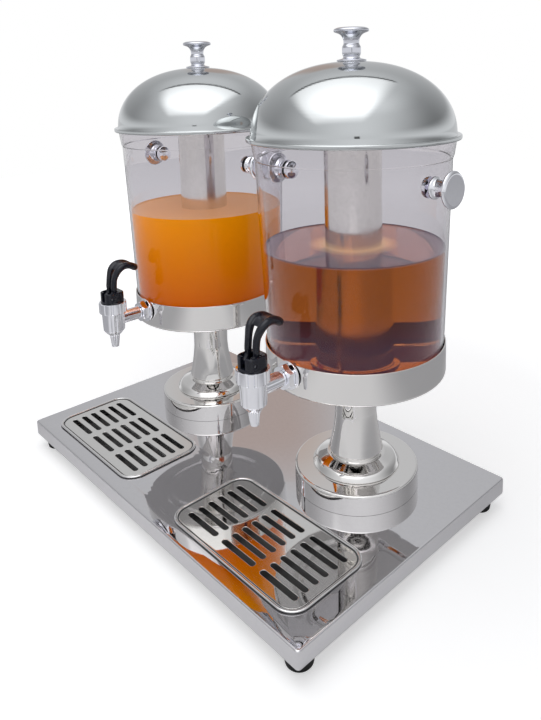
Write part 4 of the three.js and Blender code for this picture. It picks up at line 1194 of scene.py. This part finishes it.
def carved(part, *cutters):
    """The part less the cutters."""
    block, *tools = [passing(each, merged) for each in (part, *cutters)]
    for tool in tools:
        cut = block.modifiers.new("cut", "BOOLEAN")
        cut.object, cut.operation, cut.solver = tool, "DIFFERENCE", "EXACT"
    return outcome(block, *tools)


def melted(*parts, voxel=0.4, smooth=6):
    """The closed parts as one skin: a voxel remesh of that size, then a light smoothing."""
    item = passing(together(*parts), turned_out)
    grain = item.modifiers.new("skin", "REMESH")
    grain.mode, grain.voxel_size = "VOXEL", voxel * MM
    ease = item.modifiers.new("ease", "SMOOTH")
    ease.factor, ease.iterations = 0.5, smooth
    return outcome(item)


def slab(low, high):
    """A closed box between two corners."""
    low, high = np.array(low, float), np.array(high, float)
    x, y = np.array([low[0], high[0], high[0], low[0]]), np.array([low[1], low[1], high[1], high[1]])
    return capped(np.array([np.stack([x, y, np.full(4, z)], -1) for z in (low[2], high[2])]))


def rod(radius, start, end):
    """A closed rod along its own axis."""
    return capped(turned(np.array([[radius, start], [radius, end]]), 32))


print("a box has", len(slab((0, 0, 0), (1, 1, 1))[1]), "faces and a rod", len(rod(1, 0, 1)[1]))

# %% [markdown]
# The bonnet is a block with softly flattened faces. The lever's bay and its slot are cut with boxes, the
# stem's and the pin's holes with rods.

# %% Bonnet
BONNET_RADIUS, BONNET_LOW, BONNET_TOP, PIN_RISE, PIN_Y = 14.0, 185.6, 202.9, 195.397, -5.8
BAY_HALF, BAY_FRONT, BAY_BACK, BAY_FLOOR, SLOT_HALF, BLOCK_HALF = 9.7, -9.4, 4.8, 190.6, 3.6, 12.3
BONNET_FLANGE, PAST, STEM_HOLE, PIN_HOLE, PIN_RADIUS = 15.1, 3, 2.2, 1.8, 1.6


def soft_square(outline, around=96, power=4.5):
    """The outline carried round Z. Above the collar its circle swells to a rounded square: the radius is
    that of |cos a|^n + |sin a|^n = 1, which is 1 on the four sides and most at the corners."""
    a = angles(around) + np.pi / around
    across, rise = outline[:, :1], outline[:, 1:]
    square = (np.abs(np.cos(a)) ** power + np.abs(np.sin(a)) ** power) ** (-1 / power)
    across = across * (1 + np.clip((rise - COLLAR_TOP) / 1.2, 0, 1) * (square - 1))
    return carried(across, rise, a)


block = eased([(0, BONNET_LOW), (BONNET_FLANGE, BONNET_LOW, 0.3), (BONNET_FLANGE, 187.6, 0.3),
               (BONNET_RADIUS, 187.6), (BONNET_RADIUS, COLLAR_TOP - 0.4), (BLOCK_HALF, COLLAR_TOP + 1.0, 0.5),
               (BLOCK_HALF, BONNET_TOP, 1.6), (0, BONNET_TOP)], 6)
bonnet_part = carved(
    sheet(soft_square(block)),
    slab((-BAY_HALF, BAY_FRONT, BAY_FLOOR), (BAY_HALF, BAY_BACK, BONNET_TOP + PAST)),
    slab((-SLOT_HALF, -BONNET_RADIUS - PAST, BAY_FLOOR + 0.01), (SLOT_HALF, 0, BONNET_TOP + PAST + 0.01)),
    rod(STEM_HOLE, BONNET_LOW - PAST, BAY_FLOOR + PAST),
    placed(rod(PIN_HOLE, -BONNET_RADIUS - PAST, BONNET_RADIUS + PAST), (0, PIN_Y, PIN_RISE), "right"))
both_sides("bonnet_block", bonnet_part, TAP, "tank", black_plastic, "tap_bonnet", bevel=0.35)
for side in SIDES:
    low, high = corners_of(f"{side}_tap_pin")
    start, end = low[0] + 1, high[0] - 1
    pin = spun([(0, start), (PIN_RADIUS, start, 0.4), (PIN_RADIUS, end, 0.4), (0, end)], 32)
    pin = placed(pin, (0, TAP[side][1] + PIN_Y, PLATE_TOP + PIN_RISE), "right")
    made(f"{side}_pivot", pin, f"{side}_tank", bare_steel_in_painted_shade, f"{side}_tap_pin")
print("bonnet faces", len(bonnet_part[1]))

# %% [markdown]
# ## Levers
#
# The lever is moulded in one piece: two round legs that rise from a hub, bend back, and carry on as a
# raised rim round a dished paddle. Seen from the side, all of it follows one bent line, the spine. So the
# spine comes first.

# %% The lever's spine
LEG_RADIUS, LEG_HALF, LEVER_HEIGHT, LEVER_REACH, WIDER = 3.0, 6.2, 39.5, 38.5, 3.2
SPINE_SHARES = np.array([[0, 0], [.13, .17], [.16, .42], [.20, .66], [.31, .88], [.50, 1], [.76, .98],
                         [1, .84]])
spine = smoothed(SPINE_SHARES * (LEVER_REACH, LEVER_HEIGHT), 10) + (PIN_Y, PIN_RISE)
length_along = np.r_[0, np.cumsum(np.linalg.norm(np.diff(spine, axis=0), axis=1))]
WHOLE = length_along[-1]
TIP = WHOLE - LEG_HALF


def spine_at(distance):
    """The point of the spine (y, z) at a distance along it."""
    return np.stack([np.interp(distance, length_along, spine[:, i]) for i in (0, 1)], -1)


def spine_way(distance):
    """The spine's direction at a distance along it, from the points just before and after."""
    way = spine_at(distance + 0.3) - spine_at(distance - 0.3)
    return way / np.linalg.norm(way, axis=-1, keepdims=True)


def spread(s):
    """Half the distance between the legs: it grows by WIDER between a third and two thirds of the way."""
    t = np.clip(3 * np.asarray(s) / WHOLE - 1, 0, 1)
    return LEG_HALF + WIDER * t ** 2 * (3 - 2 * t)


print("the spine is", round(float(WHOLE), 1), "mm long")

# %% [markdown]
# The legs are one tube along a path that goes up the left leg, round the tip and down the right one. The
# paddle is a thin plate between them. Both are grids that lie along the spine.

# %% Legs and paddle
SPINE_UP, PADDLE_START, PADDLE_END = (0.12, -0.75, 0.65), 0.56, 2.0
FIRST_GROWTH, FIRST_LENGTH, SECOND_GROWTH, SECOND_START, SECOND_LENGTH = 0.28, 4, 0.2, 18, 8


def u_path():
    """Up one leg at x = -half, round the tip as a half circle whose middle is at the distance TIP, down the
    other."""
    climb = np.linspace(0, TIP, 44)
    bend = np.linspace(0, np.pi, 22)[1:-1]
    half = spread(climb)
    x = np.r_[-half, -spread(TIP) * np.cos(bend), half[::-1]]
    s = np.r_[climb, TIP + (LEG_HALF - 0.3) * np.sin(bend), climb[::-1]]
    return np.column_stack([x, spine_at(s)])


def leg_radius(path):
    """The leg is thin in the bonnet's bay. Above it, it grows by two shares of its radius, each over a
    short way."""
    above = path[:, 2] - BONNET_TOP
    first = np.clip(above / FIRST_LENGTH, 0, 1)
    second = np.clip((above - SECOND_START) / SECOND_LENGTH, 0, 1)
    return LEG_RADIUS * (1 + FIRST_GROWTH * first + SECOND_GROWTH * second)


def tube(path, radius, around=20):
    """A circle of the radius carried along the path, square to it. Its frame is the path's direction
    crossed with the spine's own up, so that it doesn't twist."""
    way = np.gradient(path, axis=0)
    way /= np.linalg.norm(way, axis=1, keepdims=True)
    beside = np.cross(way, SPINE_UP)
    beside /= np.linalg.norm(beside, axis=1, keepdims=True)
    other = np.cross(way, beside)
    a = angles(around)[:, None]
    return path[:, None] + radius[:, None, None] * (np.cos(a) * beside[:, None] + np.sin(a) * other[:, None])


def paddle():
    """A plate between the legs from half way up to the tip: x across, s along the spine, and a thickness
    that is least in the middle, t = 1.6 + 0.9 (x / half)^2, so that its front is dished."""
    s, share = np.linspace(WHOLE * PADDLE_START, WHOLE - PADDLE_END, 20), np.linspace(-1, 1, 11)
    x, point, way = (spread(s)[:, None] * share)[..., None], spine_at(s)[:, None], spine_way(s)
    out = np.stack([-way[:, 1], way[:, 0]], -1)[:, None]
    thick = (1.6 + 0.9 * share ** 2)[None, :, None]
    front, back = (np.concatenate([x, point + sign * thick * out], -1) for sign in (1, -1))
    return capped(np.concatenate([front, back[:, ::-1]], 1))


print("the legs' path has", len(u_path()), "points")

# %% [markdown]
# The tube, the paddle and the hub are melted together by a fine remesh, which also leaves the soft joints
# of a moulding. The fork that holds the stem's head is added after it, and the pin's hole is cut last, so
# both stay crisp.

# %% Lever
HUB_RADIUS, HUB_HALF, FORK_TOP, FORK_SHEET, LEVER_HOLE = 3, 9.2, 196.3, 1.4, 1.95
FORK_AT, FORK_WIDTH, FORK_FRONT, FORK_BACK = (-3.65, 2.15), 1.5, PIN_Y + 1, 0.8
legs = capped(tube(u_path(), leg_radius(u_path())))
hub = spun([(0, -HUB_HALF), (HUB_RADIUS, -HUB_HALF, 0.5), (HUB_RADIUS, HUB_HALF, 0.5), (0, HUB_HALF)], 40)
fork = [slab((x, FORK_FRONT, FORK_TOP - FORK_SHEET), (x + FORK_WIDTH, FORK_BACK, FORK_TOP)) for x in FORK_AT]
moulding = melted(legs, paddle(), placed(hub, (0, PIN_Y, PIN_RISE), "right"))
hole = placed(rod(LEVER_HOLE, -14, 14), (0, PIN_Y, PIN_RISE), "right")
lever_part = carved(together(moulding, *fork), hole)
both_sides("lever_moulding", lever_part, TAP, "handle", black_plastic, "tap_lever", sharp=50)
print("lever faces", len(lever_part[1]))

# %% [markdown]
# Inside the tap a stem with a soft cup closes the outlet. The lever's fork lifts the stem by its head.
# Both are small turnings, seen only when the tap is taken apart, but they move with the valve's own body.

# %% Valve stem and seat cup
STEM_RADIUS, HEAD_RADIUS, HEAD_LOW, HEAD_TOP, STEM_FOOT = 1.8, 2.8, 196.6, 198.597, 159.9
CUP_RADIUS, CUP_NECK, CUP_HOLE, CUP_FOOT, CUP_EDGE, CUP_TOP = 8.6, 4.4, 2.15, 155.7, 159.7, 163.7
stem = [(0, STEM_FOOT), (STEM_RADIUS, STEM_FOOT, 0.2), (STEM_RADIUS, HEAD_LOW), (HEAD_RADIUS, HEAD_LOW, 0.3),
        (HEAD_RADIUS, HEAD_TOP, 0.4), (0, HEAD_TOP)]
cup = [(0, CUP_FOOT), (CUP_RADIUS, CUP_FOOT, 0.8), (CUP_RADIUS, CUP_EDGE, 1.5), (CUP_NECK, CUP_TOP, 0.6),
       (CUP_HOLE, CUP_TOP), (CUP_HOLE, CUP_EDGE), (0, CUP_EDGE)]
both_sides("stem_turning", spun(stem, 32), TAP, "valve", bare_steel_in_painted_shade, "valve_stem")
both_sides("soft_cup", spun(cup, 64), TAP, "valve", pale_silicone, "seat_cup")
print("stem", round(HEAD_TOP - STEM_FOOT, 1), "mm long")

# %% [markdown]
# ## Floor, light and background
#
# The photograph was taken on white, and polished metal looks like whatever stands round it. So each kind
# of ray gets its own surround. The camera sees white, and rays through clear walls see nearly white.
# Mirrors see a grey room. A soft, plain light falls on everything else.

# %% Arithmetic for the surround
TOWARDS = np.cross(level, [0, 0, 1])


def times(tree, *values):
    """The product of sockets or numbers."""
    return reduce(partial(worked, tree, "MULTIPLY"), values)


def rest_of(tree, value):
    """What is left of 1: 1 - value."""
    return worked(tree, "SUBTRACT", 1, value)


def band(tree, value, start, full, fade, end):
    """0 up to start, 1 from full to fade, and 0 again from end on."""
    return times(tree, step(tree, value, start, full), rest_of(tree, step(tree, value, fade, end)))


def flat_square(name, size, at=(0, 0, 0), down=False):
    """A level square of that size in millimetres that faces up or down."""
    corners = np.array([[-1, -1, 0], [1, -1, 0], [1, 1, 0], [-1, 1, 0]]) * size / 2 + np.array(at, float)
    return shown(name, mesh_of(name, (corners, [[0, 3, 2, 1] if down else [0, 1, 2, 3]])))


print("the level way towards the camera:", TOWARDS.round(3))

# %% [markdown]
# The floor is matt and pale. It also glows, more for the camera than for mirrors, so that it melts into
# the white behind it. In mirrors it is dimmer behind and beside the machine, as a table is in a real
# room.

# %% Floor
FLOOR_SIZE, FLOOR_TONE, FLOOR_DIM = 6000, (0.75, 0.75, 0.755), (0.38, 0.38, 0.395)
GLOW = {"Is Camera Ray": (0.52, 1.0), "Is Transmission Ray": (0.40, 0.40), "Is Glossy Ray": (0.10, 0.10)}


def floor_finish():
    """Matt, with a glow for each kind of ray that goes from its first value near by to its second far
    off."""
    finish, tree, body = shader("floor")
    body.inputs["Roughness"].default_value = 0.9
    body.inputs["Specular IOR Level"].default_value = 0.0
    body.inputs["Emission Color"].default_value = (1, 1, 1, 1)
    place, ray = own_coordinates(tree), add(tree, "LightPath").outputs
    length = add(tree, "VectorMath", operation="LENGTH")
    join(tree, place, length.inputs[0])
    away = length.outputs["Value"]
    glows = [times(tree, ray[kind], ramp(tree, away, *ends, 0.5, 1.6)) for kind, ends in GLOW.items()]
    behind = step(tree, along(tree, place, -TOWARDS), -0.1, 0.4)
    beside = step(tree, worked(tree, "ABSOLUTE", along(tree, place, level)), 0.2, 0.55)
    dim = times(tree, worked(tree, "MAXIMUM", behind, beside), ramp(tree, away, 1.0, 0.0, 1.0, 2.2),
                ray["Is Glossy Ray"])
    join(tree, reduce(partial(worked, tree, "MAXIMUM"), glows), body.inputs["Emission Strength"],
         ramp(tree, dim, FLOOR_TONE, FLOOR_DIM), body.inputs["Base Color"])
    return finish


floor = flat_square("floor", FLOOR_SIZE)
floor.data.materials.append(floor_finish())
print("floor", FLOOR_SIZE, "mm across")

# %% [markdown]
# The room that mirrors see is brightest in front, darker at the sides and behind, and brighter again high
# up. A warm band stands behind the machine, and a dark strip low in front stands for the camera on its
# stand. Every border is soft, because a hard one would show as a line in the metal.

# %% What mirrors see
FLOORLIKE, LOW, BACK, FRONT, HIGH_EXTRA, STRIP_DARK = 0.68, 0.80, 0.58, 0.88, 0.2, 0.85
COOL, WARM = (0.97, 0.98, 1.0), (0.84, 0.70, 0.64)


def mirrored_room(tree, aside, near, rise):
    """Its brightness, from how far the ray looks to the right, towards the camera and up. A value such as
    back to front is back + share (front - back)."""
    run, fade = partial(worked, tree), partial(step, tree)
    high = run("MULTIPLY_ADD", fade(near, -0.3, 0.5), FRONT - BACK, BACK)
    high = run("MULTIPLY_ADD", fade(rise, 0.6, 0.9), HIGH_EXTRA, high)
    climb, above = fade(rise, 0.02, 0.26), fade(rise, -0.01, 0.01)
    even_tone = run("ADD", LOW, times(tree, climb, run("SUBTRACT", high, LOW)))
    sides = times(tree, aside, aside, run("MULTIPLY_ADD", aside, 0.1, 0.54), climb)
    walls = times(tree, even_tone, rest_of(tree, sides), above)
    room = run("ADD", walls, times(tree, FLOORLIKE, rest_of(tree, above)))
    narrow = rest_of(tree, fade(run("ABSOLUTE", aside), 0.04, 0.06))
    low = band(tree, rise, 0.01, 0.02, 0.11, 0.13)
    strip = times(tree, fade(near, 0.6, 0.7), narrow, low, STRIP_DARK)
    return times(tree, room, rest_of(tree, strip))


def warm_band(tree, aside, near, rise):
    """The share of warm colour: upright, a little left of the middle, and only behind."""
    off_middle = worked(tree, "ABSOLUTE", worked(tree, "ADD", aside, 0.06))
    narrow = rest_of(tree, step(tree, off_middle, 0.03, 0.16))
    behind = rest_of(tree, step(tree, near, -0.4, 0.0))
    return times(tree, narrow, behind, band(tree, rise, 0.1, 0.3, 0.5, 0.6))


print("room from", BACK, "behind to", FRONT, "in front")

# %% [markdown]
# The world joins the three surrounds. Two mixes choose between them by the kind of ray: first the room or
# the plain light, then that or the white.

# %% World
EVEN_LIGHT, EVEN_TONE, THROUGH_LOW, THROUGH_RISE = 0.30, (0.95, 0.96, 1.0, 1), 0.72, 0.14


def surround():
    """A new world with the three surrounds."""
    world = bpy.data.worlds.new("surround")
    world.use_nodes = True
    tree = world.node_tree
    tree.nodes.clear()
    looking, ray = add(tree, "TexCoord").outputs["Generated"], add(tree, "LightPath").outputs
    ways = along(tree, looking, level), along(tree, looking, TOWARDS), in_parts(tree, looking)["Z"]
    mirrored, even, white = (add(tree, "Background") for _ in range(3))
    even.inputs["Color"].default_value, even.inputs["Strength"].default_value = EVEN_TONE, EVEN_LIGHT
    white.inputs["Color"].default_value = (1, 1, 1, 1)
    seen_through = worked(tree, "MULTIPLY_ADD", step(tree, ways[2], 0.0, 0.5), THROUGH_RISE, THROUGH_LOW)
    straight = worked(tree, "MAXIMUM", ray["Is Camera Ray"], ray["Is Transmission Ray"])
    first, second = add(tree, "MixShader"), add(tree, "MixShader")
    join(tree, worked(tree, "MAXIMUM", ray["Is Camera Ray"], seen_through), white.inputs["Strength"],
         ramp(tree, warm_band(tree, *ways), COOL, WARM), mirrored.inputs["Color"],
         mirrored_room(tree, *ways), mirrored.inputs["Strength"], ray["Is Glossy Ray"], first.inputs[0],
         even.outputs[0], first.inputs[1], mirrored.outputs[0], first.inputs[2], straight, second.inputs[0],
         first.outputs[0], second.inputs[1], white.outputs[0], second.inputs[2],
         second.outputs[0], add(tree, "OutputWorld").inputs["Surface"])
    return world


bpy.context.scene.world = surround()
print("world nodes:", len(bpy.context.scene.world.node_tree.nodes))

# %% [markdown]
# Above the machine hangs a softbox, which shows in the photograph only as a bright patch on the domes
# with a dark line along its edge. So it is a card that only mirrors see: it adds light inside its
# outline, and dims what lies behind its rim.

# %% Softbox card
CARD_RISE, CARD_SIZE, CARD_FROM = 800, 4000, UNIT["right"] + (0, 0, 440)
CARD_LIGHT, CARD_FALL, BRIGHTEST, CARD_RIM = 1.15, 1.1, (-0.25, 0.5), (0.3, 0.3, 0.3)


def card_finish():
    """Light that falls off as 1 / (1 + fall r^2) from its brightest point, inside slanting borders. Places
    on the card are shares of its rise, to the right and towards the camera, from the point under it."""
    finish, tree, body = shader("softbox_card")
    tree.nodes.remove(body)
    run, fade = partial(worked, tree), partial(step, tree)
    place = own_coordinates(tree, tuple((CARD_FROM * MM).tolist()))
    across, towards = (along(tree, place, way / (CARD_RISE * MM)) for way in (level, TOWARDS))
    left_side = fade(run("MULTIPLY_ADD", towards, 0.39, across), -1.2, -0.8)
    right_side = rest_of(tree, fade(run("MULTIPLY_ADD", towards, 0.117, across), 0.30, 0.58))
    inside = times(tree, band(tree, towards, -0.44, -0.41, 1.0, 2.0), left_side, right_side)
    off_x, off_y = run("SUBTRACT", across, BRIGHTEST[0]), run("SUBTRACT", towards, BRIGHTEST[1])
    squared = run("ADD", times(tree, off_x, off_x), times(tree, off_y, off_y))
    light = times(tree, inside, run("DIVIDE", CARD_LIGHT, run("MULTIPLY_ADD", squared, CARD_FALL, 1)))
    rim = times(tree, band(tree, towards, -0.53, -0.50, -0.46, -0.43), left_side,
                rest_of(tree, fade(across, 0.5, 0.6)))
    clear, bright, both = add(tree, "BsdfTransparent"), add(tree, "Emission"), add(tree, "AddShader")
    join(tree, ramp(tree, rim, (1.0, 1.0, 1.0), CARD_RIM), clear.inputs["Color"], light,
         bright.inputs["Strength"], clear.outputs[0], both.inputs[0], bright.outputs[0], both.inputs[1],
         both.outputs[0], tree.nodes["Material Output"].inputs["Surface"])
    return finish


card = flat_square("softbox_card", CARD_SIZE, CARD_FROM + (0, 0, CARD_RISE), down=True)
card.data.materials.append(card_finish())
for ray in ("camera", "diffuse", "transmission", "shadow", "volume_scatter"):
    setattr(card, f"visible_{ray}", False)
print("card", round(float(CARD_FROM[2] + CARD_RISE)), "mm above the floor")

# %% [markdown]
# One large lamp, above and in front, gives the soft shadows under the rims. Mirrors don't see it, because
# the card is what they see of the light up there.

# %% Lamp
LAMP_AT, LAMP_SIZE, LAMP_POWER = (0.055, -0.583, 2.0), (1.9, 2.55), 26
lamp = bpy.data.lights.new("overhead", "AREA")
lamp.shape, lamp.energy = "RECTANGLE", LAMP_POWER
lamp.size, lamp.size_y = LAMP_SIZE
overhead = bpy.data.objects.new("overhead", lamp)
overhead.matrix_world = Matrix.Translation(LAMP_AT) @ Matrix.Rotation(YAW, 4, "Z")
overhead.visible_glossy = False
bpy.context.scene.collection.objects.link(overhead)
print("lamp", LAMP_POWER, "W")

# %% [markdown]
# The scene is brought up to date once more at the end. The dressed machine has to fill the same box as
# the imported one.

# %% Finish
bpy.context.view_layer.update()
